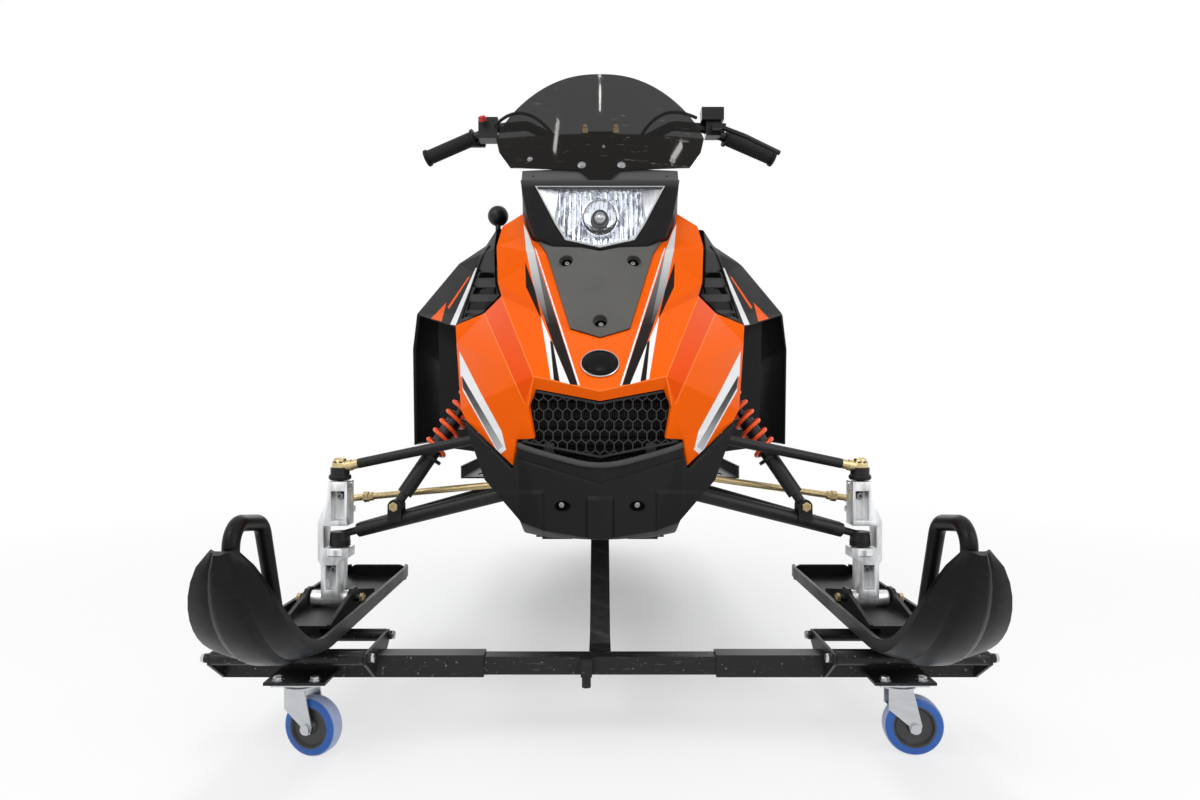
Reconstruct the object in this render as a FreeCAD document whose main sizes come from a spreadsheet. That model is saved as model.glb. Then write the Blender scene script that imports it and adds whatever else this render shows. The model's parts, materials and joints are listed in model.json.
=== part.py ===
import FreeCAD, Part
import math
import os
import re
import Sketcher
from FreeCAD import Placement, Rotation, Vector

# A snowmobile standing on its workshop dolly, in millimetres.
# The nose points to -Y, the rider's left side to +X, and the floor is z = 0.
# Every driving size is a named cell of the sheet "dim"; the solids read it from there.

SIZES = [
    # Heights and clearances that place the machine
    ("ride_height", 178, "floor to the track and the rollers' tops"),
    ("rest_gap", 0.3, "clearance of pieces that lie on each other"),
    ("fit_gap", 0.05, "radial running clearance of pins in their bores"),
    # Dolly: cross beam with telescopic arms, spar, strut and tray
    ("beam_side", 32, "side of the inner square tube"),
    ("beam_wall", 3, "wall of the square tubes"),
    ("beam_y", -1010, "centre line of the cross beam"),
    ("beam_z", 136, "height of the cross beam's centre"),
    ("beam_reach", 330, "half length of the inner tube"),
    ("sleeve_side", 39, "side of the outer square tube"),
    ("sleeve_seam", 206, "centre plane to the inner end of an arm"),
    ("sleeve_margin", 6, "outer end of an arm beyond the rollers"),
    ("spar_end", 900, "rear end of the spar"),
    ("strut_side", 38, "side of the belly strut"),
    ("strut_lean", 54, "strut's angle from upright"),
    ("strut_foot", 35, "beam centre to the strut's foot"),
    ("tray_width", 420, "width of the track tray"),
    ("tray_length", 628, "length of the track tray"),
    ("tray_front", 262, "front edge of the track tray"),
    ("tray_skin", 5, "thickness of the tray's plate"),
    ("tray_bar", 40, "width of the bars under the tray"),
    ("pin_x", -24, "tow pin from the centre plane"),
    ("pin_width", 20, "width of the tow pin's strap"),
    ("pin_diameter", 16, "diameter of the tow pin"),
    ("pin_drop", 19, "tow pin below the beam"),
    # Roller cradles under the skis
    ("roller_diameter", 23, "diameter of the cradle rollers"),
    ("roller_rod", 10, "diameter of the roller axles"),
    ("roller_front", -1081, "axis of the front roller"),
    ("roller_rear", -938, "axis of the rear roller"),
    ("roller_shift", 30, "steering axis to the middle of the rollers"),
    ("roller_reach", 130, "half length of the rollers"),
    ("cheek_wall", 5, "thickness of the cradle's end plates"),
    ("cheek_margin", 9, "end plate's metal round the roller axles"),
    ("nut_length", 7, "length of the nuts on the roller axles"),
    ("nut_diameter", 16, "diameter over the nuts"),
    # Castors
    ("caster_x", 514, "centre plane to the front swivels"),
    ("caster_wheel", 100, "diameter of a castor wheel"),
    ("caster_width", 31, "width of a castor wheel"),
    ("caster_trail", 24, "swivel axis to the wheel's axle"),
    ("caster_bolt", 10, "diameter of the castor's axle bolt"),
    ("caster_hub", 66, "diameter of a castor wheel's hub"),
    ("bracket_z", 127, "underside of the castor brackets"),
    ("bracket_wall", 5, "thickness of the castor brackets"),
    ("bracket_width", 104, "width of the castor brackets"),
    ("bracket_depth", 76, "depth of the castor brackets"),
    ("flange_x", 84, "length of the castor's top plate"),
    ("flange_y", 66, "width of the castor's top plate"),
    ("flange_wall", 4, "thickness of the castor's top plate"),
    ("race_diameter", 46, "diameter of the swivel's ball race"),
    ("race_height", 5, "height of the swivel's ball race"),
    ("kingpin", 12, "diameter of the swivel pin"),
    ("fork_wall", 3, "thickness of the castor's fork"),
    ("fork_gap", 3, "fork leg to the side of the wheel"),
    ("fork_head", 58, "diameter of the fork's head"),
    ("fork_foot", 22, "width of a fork leg at the axle"),
    ("swivel_gap", 0.5, "gap in the swivel's ball race"),
    ("yaw_left", -97, "rest angle of the left castor"),
    ("yaw_right", -107, "rest angle of the right castor"),
    ("yaw_rear", 0, "rest angle of the rear castor"),
    # Skis and their spindles
    ("kingpin_x", 502, "centre plane to the steering axis of a ski"),
    ("kingpin_y", -892, "steering axis of the skis"),
    ("ski_offset", 18, "steering axis to the middle of the ski"),
    ("ski_width", 150, "width of the ski"),
    ("ski_keel", 52, "width of the ski's keel"),
    ("ski_groove", 9, "keel below the grooves beside it"),
    ("ski_edge_lift", 20, "ski's edges above the keel's sole"),
    ("ski_wall", 8, "thickness of the ski's moulding"),
    ("ski_rim", 24, "height of the ski's rolled rims"),
    ("ski_tail", -542, "rear end of the ski"),
    ("ski_bend", -1120, "where the ski starts to curl up"),
    ("ski_tip", -1380, "front of the ski's tip"),
    ("ski_curl", 264, "radius of the curled tip"),
    ("ski_bolt_z", 225, "height of the ski's cross bolt"),
    ("ski_bolt", 12, "diameter of the ski's cross bolt"),
    ("loop_bar", 19, "thickness of the ski's loop"),
    ("loop_rise", 429, "height of the ski loop's middle line"),
    ("loop_bend", 32, "bend of the ski's loop"),
    ("loop_foot", 22, "foot of the ski's loop ahead of the curl"),
    ("saddle_width", 92, "width over the saddle's walls"),
    ("saddle_wall", 7, "thickness of the saddle's walls"),
    ("saddle_length", 290, "length of the saddle"),
    ("foot_width", 70, "width of the spindle's foot tube"),
    ("foot_diameter", 30, "diameter of the spindle's foot tube"),
    ("spindle_depth", 44, "front to back of the spindle"),
    ("boss_half", 22, "half width of the spindle's bosses"),
    ("stud_diameter", 12, "diameter of the ball joint studs"),
    ("lower_boss", 324, "top of the spindle's lower boss"),
    ("mouth_top", 367, "top of the spindle's mouth"),
    ("upper_boss", 451, "top of the spindle's upper boss"),
    ("boss_height", 18, "height of the spindle's bosses"),
    ("arm_radius", 60, "length of the steering arms"),
    ("arm_boss", 396, "top of the spindle's steering arm"),
    ("rod_outer_z", 404, "height of the tie rods' outer ends"),
    ("rod_diameter", 13, "diameter of the tie rods"),
    ("eye_diameter", 24, "diameter of the tie rods' eyes"),
    ("eye_height", 18, "height of the tie rods' inner eyes"),
    ("outer_eye", 12, "height of the tie rods' outer eyes"),
    # Front suspension
    ("lower_joint", 347, "height of the lower arms' rings"),
    ("upper_joint", 477, "height of the upper arms' rod ends"),
    ("ring_diameter", 36, "diameter of the lower arms' rings"),
    ("ring_height", 13, "height of the lower arms' rings"),
    ("end_diameter", 28, "diameter of the upper arms' rod ends"),
    ("end_height", 24, "height of the upper arms' rod ends"),
    ("lower_tube", 27, "diameter of the lower arms' tubes"),
    ("upper_tube", 19, "diameter of the upper arms' tubes"),
    ("bush_diameter", 30, "diameter of the arms' inner bushes"),
    ("bush_length", 40, "length of the arms' inner bushes"),
    ("lower_root_z", 436, "height of the lower arms' inner pivots"),
    ("upper_root_z", 548, "height of the upper arms' inner pivots"),
    ("arm_front", -952, "front pivots of the arms"),
    ("arm_rear", -806, "rear pivots of the arms"),
    ("shock_foot_x", 388, "lower eye of the front shocks"),
    ("shock_foot_z", 406, "height of the front shocks' lower eyes"),
    ("shock_head_x", 222, "upper eye of the front shocks"),
    ("shock_head_y", -850, "front shocks' upper eyes"),
    ("shock_head_z", 664, "height of the front shocks' upper eyes"),
    ("shock_eye", 26, "diameter of the shocks' eyes"),
    ("shock_pin", 12, "diameter of the shocks' pins"),
    ("damper_diameter", 29, "diameter of the front dampers"),
    ("damper_rod", 13, "diameter of the damper rods"),
    ("spring_diameter", 50, "outside diameter of the front springs"),
    ("spring_wire", 8, "wire of the front springs"),
    ("spring_turns", 7, "turns of the front springs"),
    # Steering
    ("steer_y", -599, "steering axis at the handlebar"),
    ("steer_z", 1196, "height of the handlebar's middle"),
    ("steer_rake", 25, "steering axis from upright"),
    ("post_diameter", 30, "diameter of the steering post"),
    ("post_length", 770, "handlebar to the pitman arm along the post"),
    ("post_room", 18, "clearance round the steering post"),
    ("pitman_wall", 8, "thickness of the pitman arm"),
    ("bar_diameter", 22, "diameter of the handlebar"),
    ("bar_half", 398, "centre plane to the end of the handlebar"),
    ("grip_start", 286, "centre plane to the inner end of a grip"),
    ("grip_diameter", 33, "diameter of the grips"),
    # Chassis
    ("tunnel_width", 400, "width of the tunnel"),
    ("tunnel_top", 600, "height of the tunnel's roof"),
    ("tunnel_front", -570, "front end of the tunnel"),
    ("tunnel_rear", 1130, "rear end of the tunnel"),
    ("tunnel_wall", 4, "thickness of the tunnel's sheet"),
    ("landing_half", 150, "half width of the rack landing behind the seat"),
    ("landing_front", 760, "front edge of the rack landing"),
    ("landing_margin", 20, "rack landing to the tunnel's rear end"),
    ("landing_lift", 3, "height of the rack landing above the roof"),
    ("board_z", 425, "height of the running boards"),
    ("board_width", 130, "width of a running board"),
    ("board_lip", 26, "height of the running board's edge"),
    ("board_front", -520, "front end of the running boards"),
    ("board_rear", 900, "rear end of the running boards"),
    ("slot_width", 30, "width of the boards' snow slots"),
    ("slot_length", 50, "length of the boards' snow slots"),
    ("slot_pitch", 48, "snow slots, side to side"),
    ("bulkhead_wall", 6, "thickness of the bulkhead's plates"),
    ("bulkhead_half", 150, "centre plane to the bulkhead's sides"),
    ("bulkhead_front", -1010, "front of the bulkhead"),
    ("bulkhead_base", 408, "underside of the bulkhead"),
    ("clevis_wall", 5, "thickness of the shock clevis's ears"),
    ("grille_front", -1040, "front of the grille's screen"),
    ("grille_wall", 6, "thickness of the grille's screen"),
    ("grille_rim", 4, "rim round the grille's web"),
    ("cell_pitch", 16.5, "grille cells, side to side"),
    ("cell_rise", 18.5, "grille cells, row to row"),
    ("cell_web", 2, "bars between the grille cells"),
    ("cell_middle", 562, "height of the grille's middle row"),
    ("belly_z", 352, "underside of the belly pan"),
    ("panel_wall", 3, "thickness of the hood's centre cover"),
    ("cup_diameter", 27, "bore of the cover's bolt cups"),
    ("cup_depth", 12, "depth of the cover's bolt cups"),
    ("cup_wall", 2, "wall of the cover's bolt cups"),
    ("panel_keep", 0.97, "inner skin of the mouldings as a share of the outer"),
    ("engine_half", 130, "half width of the engine block"),
    ("engine_front", -790, "front of the engine block"),
    ("engine_rear", -590, "rear of the engine block"),
    ("bridge_drop", 722, "handlebar to the steering bearing along the post"),
    ("bridge_wall", 12, "height of the steering bearing's bridge"),
    ("engine_top", 632, "top of the engine block"),
    ("shield_radius", 760, "bend of the windshield"),
    ("shield_wall", 4, "thickness of the windshield"),
    ("shield_foot", 1034, "height of the windshield's lowest point"),
    ("seat_half", 150, "half width of the seat"),
    ("seat_front", -330, "front of the seat"),
    ("seat_rear", 700, "rear of the seat"),
    ("lever_diameter", 12, "diameter of the gear lever's stalk"),
    ("lever_knob", 46, "diameter of the gear lever's knob"),
    ("tank_half", 150, "half width of the tank cover"),
    ("tank_front", -775, "front of the tank cover"),
    # Rear
    ("rear_reach", 1380, "rearmost point of the rear bumper"),
    ("rear_tube", 22, "diameter of the rear bumper"),
    ("flap_foot", 270, "lower edge of the snow flap"),
    ("flap_wall", 6, "thickness of the snow flap"),
    ("lamp_half", 90, "half width of the tail lamp"),
    ("lamp_depth", 34, "depth of the tail lamp"),
    # Track and its wheels
    ("track_gap", 18, "clearance between the track and the tunnel's sides"),
    ("belt", 8, "thickness of the track's belt"),
    ("lug_height", 30, "height of the track's lugs"),
    ("lug_base", 16, "thickness of a lug at its foot"),
    ("lug_tip", 8, "thickness of a lug at its tip"),
    ("lug_count", 42, "number of lug rows"),
    ("driver_y", -430, "drive axle"),
    ("driver_z", 432, "height of the drive axle"),
    ("driver_radius", 82, "radius of the drive sprockets"),
    ("driver_axle", 26, "diameter of the drive axle"),
    ("run_front", 90, "front end of the track's flat run"),
    ("run_bend", 150, "bend of the slide rails at the front"),
    ("idler_y", 960, "rear idler axle"),
    ("idler_radius", 85, "radius of the rear idler wheels"),
    ("idler_width", 26, "width of an idler wheel"),
    ("idler_axle", 20, "diameter of the idler axle"),
    ("bogie_radius", 60, "radius of the bogie wheels"),
    ("rail_x", 124, "centre plane to the inner face of a slide rail"),
    ("rail_wall", 12, "thickness of a slide rail"),
    ("rail_height", 62, "height of a slide rail"),
]

doc = FreeCAD.newDocument("Snowmobile")
sheet = doc.addObject("Spreadsheet::Sheet", "dim")
for row, (alias, amount, meaning) in enumerate(SIZES, 1):
    sheet.set("A%d" % row, meaning)
    sheet.set("B%d" % row, str(amount))
    sheet.setAlias("B%d" % row, alias)
doc.recompute()

ALIASES = {alias for alias, amount, meaning in SIZES}
X_AXIS = Vector(1, 0, 0)
Y_AXIS = Vector(0, 1, 0)
Z_AXIS = Vector(0, 0, 1)
nodes = []


def formula(text):
    """The expression for a formula written with the sheet's plain names."""
    return re.sub(r"[a-z]+(_[a-z]+)*", lambda m: ("dim." if m.group() in ALIASES else "") + m.group(), text)


def size(text):
    """The number that a formula of the sheet's names gives."""
    return float(sheet.evalExpression(formula(text)))


def point(x, y, z):
    """A point whose coordinates are formulas."""
    return Vector(size(x), size(y), size(z))


# Solids bound to the sheet


def place(item, at, turn=None):
    """Put an item at a point of formulas, turned by (axis, degrees)."""
    if turn:
        item.Placement = Placement(Vector(), Rotation(turn[0], turn[1]))
    for axis, text in zip("xyz", at):
        item.setExpression("Placement.Base." + axis, formula(text))
    return item


def box(name, length, width, height, at, turn=None):
    """A block from its low corner."""
    item = doc.addObject("Part::Box", name)
    item.setExpression("Length", formula(length))
    item.setExpression("Width", formula(width))
    item.setExpression("Height", formula(height))
    return place(item, at, turn)


TURNS = {"x": (Y_AXIS, 90), "y": (X_AXIS, -90), "z": None}


def rod(name, diameter, length, at, along="z"):
    """A round bar from the middle of its first end."""
    item = doc.addObject("Part::Cylinder", name)
    item.setExpression("Radius", formula("(" + diameter + ") / 2"))
    item.setExpression("Height", formula(length))
    return place(item, at, TURNS[along])


def fuse(name, *pieces):
    """The pieces joined into one."""
    item = doc.addObject("Part::MultiFuse", name)
    item.Shapes = list(pieces)
    item.Refine = True
    return item


def cut(name, base, *tools):
    """The base with the tools taken out of it."""
    item = doc.addObject("Part::Cut", name)
    item.Base = base
    item.Tool = tools[0] if len(tools) == 1 else fuse(name + "_tools", *tools)
    item.Refine = True
    return item


def common(name, base, tool):
    """What two pieces share."""
    item = doc.addObject("Part::Common", name)
    item.Base = base
    item.Tool = tool
    return item


def gather(name, *pieces):
    """Separate solids kept side by side in one sub-part."""
    item = doc.addObject("Part::Compound", name)
    item.Links = list(pieces)
    return item


def mirror(name, source):
    """The source on the other side of the centre plane."""
    item = doc.addObject("Part::Mirroring", name)
    item.Source = source
    item.Normal = X_AXIS
    return item


def feature(name, shape):
    """A solid worked out by Part's own functions."""
    item = doc.addObject("Part::Feature", name)
    item.Shape = shape
    return item


def keep(label, item):
    """Mark an item as a sub-part under its own label."""
    item.Label = label
    nodes.append(item)
    return item


# Sketched bodies


def origin_plane(body, role):
    return next(item for item in body.Origin.OriginFeatures if item.Role == role)


def outline(body, name, role, *loops):
    """A sketch of closed loops of straight sides whose corners are pairs of formulas."""
    drawing = body.newObject("Sketcher::SketchObject", name)
    drawing.AttachmentSupport = [(origin_plane(body, role), "")]
    drawing.MapMode = "FlatFace"
    for loop in loops:
        corners = [(size(x), size(y)) for x, y in loop]
        first = drawing.GeometryCount
        count = len(corners)
        for start, end in zip(corners, corners[1:] + corners[:1]):
            drawing.addGeometry(Part.LineSegment(Vector(*start, 0), Vector(*end, 0)))
        for index in range(count):
            drawing.addConstraint(Sketcher.Constraint(
                "Coincident", first + index, 2, first + (index + 1) % count, 1))
        for index, (texts, corner) in enumerate(zip(loop, corners)):
            for kind, text, amount in zip(("DistanceX", "DistanceY"), texts, corner):
                number = drawing.addConstraint(
                    Sketcher.Constraint(kind, -1, 1, first + index, 1, amount))
                drawing.setExpression("Constraints[%d]" % number, formula(text))
    return drawing


def prism(name, role, loops, length, symmetric=False, reverse=False):
    """A body made by pushing straight-sided loops along their plane's normal."""
    body = doc.addObject("PartDesign::Body", name)
    pad = body.newObject("PartDesign::Pad", name + "_pad")
    pad.Profile = outline(body, name + "_outline", role, *loops)
    pad.setExpression("Length", formula(length))
    if symmetric:
        pad.SideType = "Symmetric"
    pad.Reversed = reverse
    body.Tip = pad
    return body


def revolved(name, loop, at, turn=None):
    """A body turned about its own Z axis from a loop of (radius, height) pairs."""
    body = doc.addObject("PartDesign::Body", name)
    spin = body.newObject("PartDesign::Revolution", name + "_spin")
    spin.Profile = outline(body, name + "_outline", "XZ_Plane", loop)
    spin.ReferenceAxis = (origin_plane(body, "Z_Axis"), [""])
    spin.Angle = 360
    body.Tip = spin
    return place(body, at, turn)


# Free-form shapes


def wire(points):
    return Part.makePolygon(list(points) + [points[0]])


def sweep(points, diameter, bend):
    """A round tube along straight runs joined by tangent arcs."""
    edges = []
    start = points[0]
    for before, corner, after in zip(points, points[1:], points[2:]):
        back = (before - corner).normalize()
        ahead = (after - corner).normalize()
        half = back.getAngle(ahead) / 2
        reach = bend / math.tan(half)
        arc_start = corner + back * reach
        arc_end = corner + ahead * reach
        middle = (back + ahead).normalize()
        top = corner + middle * (bend / math.sin(half) - bend)
        edges.append(Part.makeLine(start, arc_start))
        edges.append(Part.Arc(arc_start, top, arc_end).toShape())
        start = arc_end
    edges.append(Part.makeLine(start, points[-1]))
    path = Part.Wire(edges)
    section = Part.Wire(Part.makeCircle(diameter / 2, points[0], points[1] - points[0]))
    return path.makePipeShell([section], True, True)


def tube(start, end, diameter):
    """A straight round bar between two points."""
    return Part.makeCylinder(diameter / 2, (end - start).Length, start, end - start)


def mirrored(shape):
    return shape.mirror(Vector(), X_AXIS)


def skin(points, faces, focus, keep_share, whole=True):
    """A moulding of flat facets with its inner skin drawn in towards a focus.

    Faces list corners by number; with whole the half given is completed
    on the other side of the centre plane.
    """
    corners = list(points)
    triangles = [(face[0], b, c) for face in faces for b, c in zip(face[1:], face[2:])]
    if whole:
        partner = {}
        for index, corner in enumerate(points):
            if abs(corner.x) < 1e-6:
                partner[index] = index
            else:
                partner[index] = len(corners)
                corners.append(Vector(-corner.x, corner.y, corner.z))
        triangles += [tuple(partner[index] for index in triangle) for triangle in triangles]
    turned = []
    for a, b, c in triangles:
        normal = (corners[b] - corners[a]).cross(corners[c] - corners[a])
        outward = normal.dot(corners[a] - focus) > 0
        turned.append((a, b, c) if outward else (a, c, b))
    inner = [focus + (corner - focus) * keep_share for corner in corners]
    rim = {}
    for triangle in turned:
        for edge in zip(triangle, triangle[1:] + triangle[:1]):
            if (edge[1], edge[0]) in rim:
                del rim[(edge[1], edge[0])]
            else:
                rim[edge] = True
    flats = [[corners[i] for i in triangle] for triangle in turned]
    flats += [[inner[i] for i in reversed(triangle)] for triangle in turned]
    for a, b in rim:
        flats.append([corners[b], corners[a], inner[a]])
        flats.append([corners[b], inner[a], inner[b]])
    shell = Part.Shell([Part.Face(wire(flat)) for flat in flats])
    solid = Part.Solid(shell)
    if solid.Volume < 0:
        solid.reverse()
    return solid.removeSplitter()


def loft(sections):
    """A solid with straight sides through closed sections of equal corner count."""
    return Part.makeLoft([wire(section) for section in sections], True, True)


# Dolly frame


def square(side):
    """A square loop centred on its plane's origin."""
    low = "-(" + side + ") / 2"
    high = "(" + side + ") / 2"
    return [(low, low), (high, low), (high, high), (low, high)]


def square_tube(name, outer, bore, length, at, along):
    """A hollow square tube along x or y, from the middle of its first end."""
    role, reverse = {"x": ("YZ_Plane", False), "y": ("XZ_Plane", True)}[along]
    return place(prism(name, role, [square(outer), square(bore)], length, reverse=reverse), at)


def castor_bracket(name, x, y):
    """The flat plate that carries a castor, ahead of or behind a tube's face."""
    return box(name, "bracket_width", "bracket_depth", "bracket_wall",
               ("(" + x + ") - bracket_width / 2", y, "bracket_z"))


cross = square_tube("cross_tube", "beam_side", "beam_side - 2 * beam_wall", "2 * beam_reach",
                    ("-beam_reach", "beam_y", "beam_z"), "x")
spar = square_tube("spar_tube", "sleeve_side", "sleeve_side - 2 * beam_wall",
                   "spar_end - beam_y - beam_side / 2", ("0", "beam_y + beam_side / 2", "beam_z"), "y")
spar_plate = castor_bracket("spar_bracket", "0", "spar_end")
spar_cap = box("spar_cap", "sleeve_side", "beam_wall", "sleeve_side",
               ("-sleeve_side / 2", "spar_end - beam_wall", "beam_z - sleeve_side / 2"))
keep("dolly_frame", fuse("frame", cross, spar, spar_cap, spar_plate))

CHEEK = [
    ("roller_front - cheek_margin", "ride_height - rest_gap - roller_diameter / 2 + cheek_margin"),
    ("roller_front - cheek_margin", "ride_height - rest_gap - roller_diameter / 2 - cheek_margin"),
    ("beam_y - sleeve_side / 2", "beam_z - sleeve_side / 2"),
    ("beam_y + sleeve_side / 2", "beam_z - sleeve_side / 2"),
    ("roller_rear + cheek_margin", "ride_height - rest_gap - roller_diameter / 2 - cheek_margin"),
    ("roller_rear + cheek_margin", "ride_height - rest_gap - roller_diameter / 2 + cheek_margin"),
]
ROLLER_Z = "(ride_height - rest_gap - roller_diameter / 2)"


ROLLER_IN = "(kingpin_x + roller_shift - roller_reach)"
ROLLER_OUT = "(kingpin_x + roller_shift + roller_reach)"


def cheek(name, x):
    """An end plate of the roller cradle, drilled for both axles."""
    plate = place(prism(name + "_plate", "YZ_Plane", [CHEEK], "cheek_wall"), (x, "0", "0"))
    drills = [
        rod(name + "_drill_" + end, "roller_rod + 2 * fit_gap", "3 * cheek_wall",
            (x + " - cheek_wall", "roller_" + end, ROLLER_Z), "x")
        for end in ("front", "rear")]
    return cut(name, plate, *drills)


def sleeve():
    """The left telescopic arm with its cradle plates and castor bracket."""
    arm = square_tube("arm_tube", "sleeve_side", "beam_side + 2 * rest_gap",
                      ROLLER_OUT + " + sleeve_margin - sleeve_seam", ("sleeve_seam", "beam_y", "beam_z"), "x")
    plate = castor_bracket("arm_bracket", "caster_x", "beam_y - sleeve_side / 2 - bracket_depth")
    inner = cheek("inner_cheek", ROLLER_IN + " - rest_gap - cheek_wall")
    outer = cheek("outer_cheek", ROLLER_OUT + " + rest_gap")
    return fuse("arm", arm, plate, inner, outer)


left_arm = sleeve()
keep("dolly_arm_left", left_arm)
keep("dolly_arm_right", mirror("arm_right", left_arm))


def roller(end):
    """One cradle roller with its axle and nuts."""
    y = "roller_" + end
    name = "roller_" + end
    barrel = rod(name + "_barrel", "roller_diameter", "2 * roller_reach", (ROLLER_IN, y, ROLLER_Z), "x")
    overhang = "rest_gap + cheek_wall + nut_length"
    axle = rod(name + "_axle", "roller_rod", "2 * (roller_reach + " + overhang + ")",
               (ROLLER_IN + " - (" + overhang + ")", y, ROLLER_Z), "x")
    low_nut = rod(name + "_nut_in", "nut_diameter", "nut_length",
                  (ROLLER_IN + " - (" + overhang + ")", y, ROLLER_Z), "x")
    high_nut = rod(name + "_nut_out", "nut_diameter", "nut_length",
                   (ROLLER_OUT + " + rest_gap + cheek_wall", y, ROLLER_Z), "x")
    return fuse(name, barrel, axle, low_nut, high_nut)


left_rollers = gather("rollers_left", roller("front"), roller("rear"))
keep("cradle_rollers", gather("rollers", left_rollers, mirror("rollers_right", left_rollers)))

leaning = box("strut_bar", "strut_side", "strut_side", "600",
              ("-strut_side / 2", "beam_y + strut_foot - 90", "beam_z - 60"), (X_AXIS, -size("strut_lean")))
strut_room = box("strut_room", "2 * strut_side", "600",
                 "belly_z - rest_gap - beam_z - sleeve_side / 2",
                 ("-strut_side", "beam_y - 50", "beam_z + sleeve_side / 2"))
keep("dolly_strut", common("strut", leaning, strut_room))

SPAR_TOP = "(beam_z + sleeve_side / 2)"
tray_plate = box("tray_plate", "tray_width", "tray_length", "tray_skin",
                 ("-tray_width / 2", "tray_front", "ride_height - tray_skin"))
tray_bars = [
    box("tray_bar_" + name, "tray_width", "tray_bar", "ride_height - tray_skin - " + SPAR_TOP,
        ("-tray_width / 2", "tray_front + (tray_length - tray_bar) * " + share, SPAR_TOP))
    for name, share in (("front", "0"), ("middle", "0.5"), ("rear", "1"))]
keep("dolly_tray", fuse("tray", tray_plate, *tray_bars))

strap = box("pin_strap", "pin_width", "pin_diameter", "beam_side",
            ("pin_x - pin_width / 2", "beam_y - beam_side / 2 - pin_diameter", "beam_z - beam_side / 2"))
tow = rod("pin_rod", "pin_diameter", "pin_drop",
          ("pin_x", "beam_y - beam_side / 2 - pin_diameter / 2", "beam_z - beam_side / 2 - pin_drop"))
keep("tow_pin", fuse("pin", strap, tow))

# Castors


def swivel(side):
    """Where a castor's swivel axis stands, as formulas, and its rest angle."""
    front = "beam_y - sleeve_side / 2 - bracket_depth / 2"
    spots = {"left": ("caster_x", front), "right": ("-caster_x", front),
             "rear": ("0", "spar_end + bracket_depth / 2")}
    return spots[side] + (size("yaw_" + side),)


RACE_Z = "(bracket_z - flange_wall - race_height)"
HEAD_Z = "(" + RACE_Z + " - swivel_gap - fork_wall)"


def castor_plate(side):
    """The zinc plate and ball race that a castor hangs from."""
    x, y, yaw = swivel(side)
    name = "castor_plate_" + side
    flange = box(name + "_flange", "flange_x", "flange_y", "flange_wall",
                 (x + " - flange_x / 2", y + " - flange_y / 2", "bracket_z - flange_wall"))
    race = rod(name + "_race", "race_diameter", "race_height", (x, y, RACE_Z))
    bore = rod(name + "_bore", "kingpin + 2 * fit_gap", "2 * race_height + 2 * flange_wall",
               (x, y, RACE_Z + " - race_height"))
    return cut(name, fuse(name + "_body", flange, race), bore)


def castor_fork(side):
    """Swivel head, two tapered legs and the axle bolt."""
    x, y, yaw = swivel(side)
    name = "castor_fork_" + side
    head = rod(name + "_head", "fork_head", "fork_wall", ("0", "0", HEAD_Z))
    pin = rod(name + "_pin", "kingpin", "swivel_gap + race_height + flange_wall + fork_wall - 1",
              ("0", "0", HEAD_Z))
    leg = [
        ("-0.34 * fork_head", HEAD_Z + " + fork_wall"), ("0.34 * fork_head", HEAD_Z + " + fork_wall"),
        ("caster_trail + fork_foot / 2", "caster_wheel / 2 + 4"),
        ("caster_trail + fork_foot * 0.35", "caster_wheel / 2 - fork_foot * 0.35"),
        ("caster_trail", "caster_wheel / 2 - fork_foot / 2"),
        ("caster_trail - fork_foot * 0.35", "caster_wheel / 2 - fork_foot * 0.35"),
        ("caster_trail - fork_foot / 2", "caster_wheel / 2 + 4"),
        ("-0.34 * fork_head", "0.8 * caster_wheel"),
    ]
    inset = "(caster_width / 2 + fork_gap)"
    legs = [place(prism(name + "_leg_" + tag, "YZ_Plane", [leg], "fork_wall"), (at, "0", "0"))
            for tag, at in (("high", inset), ("low", "-" + inset + " - fork_wall"))]
    spread = "(" + inset + " + fork_wall + 5)"
    bolt = rod(name + "_bolt", "caster_bolt", "2 * " + spread,
               ("-" + spread, "caster_trail", "caster_wheel / 2"), "x")
    heads = [rod(name + "_nut_" + tag, "1.7 * caster_bolt", "5", (at, "caster_trail", "caster_wheel / 2"), "x")
             for tag, at in (("high", spread + " - 5"), ("low", "-" + spread))]
    fork = fuse(name, head, pin, bolt, *legs, *heads)
    return place(fork, (x, y, "0"), (Z_AXIS, yaw))


def castor_wheel(side):
    """Tyre and hub turned as one."""
    x, y, yaw = swivel(side)
    half = "caster_width / 2"
    loop = [
        ("caster_bolt / 2 + fit_gap", "-" + half), ("caster_bolt", "-" + half),
        ("caster_bolt + 3", "-" + half + " + 5"), ("caster_hub / 2 - 3", "-" + half + " + 5"),
        ("caster_hub / 2", "-" + half), ("caster_wheel / 2 - 7", "-" + half),
        ("caster_wheel / 2 - 2", "-" + half + " + 3"), ("caster_wheel / 2", "-" + half + " + 8"),
        ("caster_wheel / 2", half + " - 8"), ("caster_wheel / 2 - 2", half + " - 3"),
        ("caster_wheel / 2 - 7", half), ("caster_hub / 2", half),
        ("caster_hub / 2 - 3", half + " - 5"), ("caster_bolt + 3", half + " - 5"),
        ("caster_bolt", half), ("caster_bolt / 2 + fit_gap", half),
    ]
    sine = "sin(yaw_" + side + ")"
    cosine = "cos(yaw_" + side + ")"
    wheel = revolved("castor_wheel_" + side, loop,
                     (x + " - caster_trail * " + sine, y + " + caster_trail * " + cosine, "caster_wheel / 2"))
    wheel.Placement.Rotation = Rotation(Z_AXIS, yaw) * Rotation(Y_AXIS, 90)
    return wheel


keep("castor_plates", gather("plates", *[castor_plate(side) for side in ("left", "right", "rear")]))
for side in ("left", "right", "rear"):
    keep("castor_fork_" + side, castor_fork(side))
    keep("castor_wheel_" + side, castor_wheel(side))

# Skis


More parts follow.
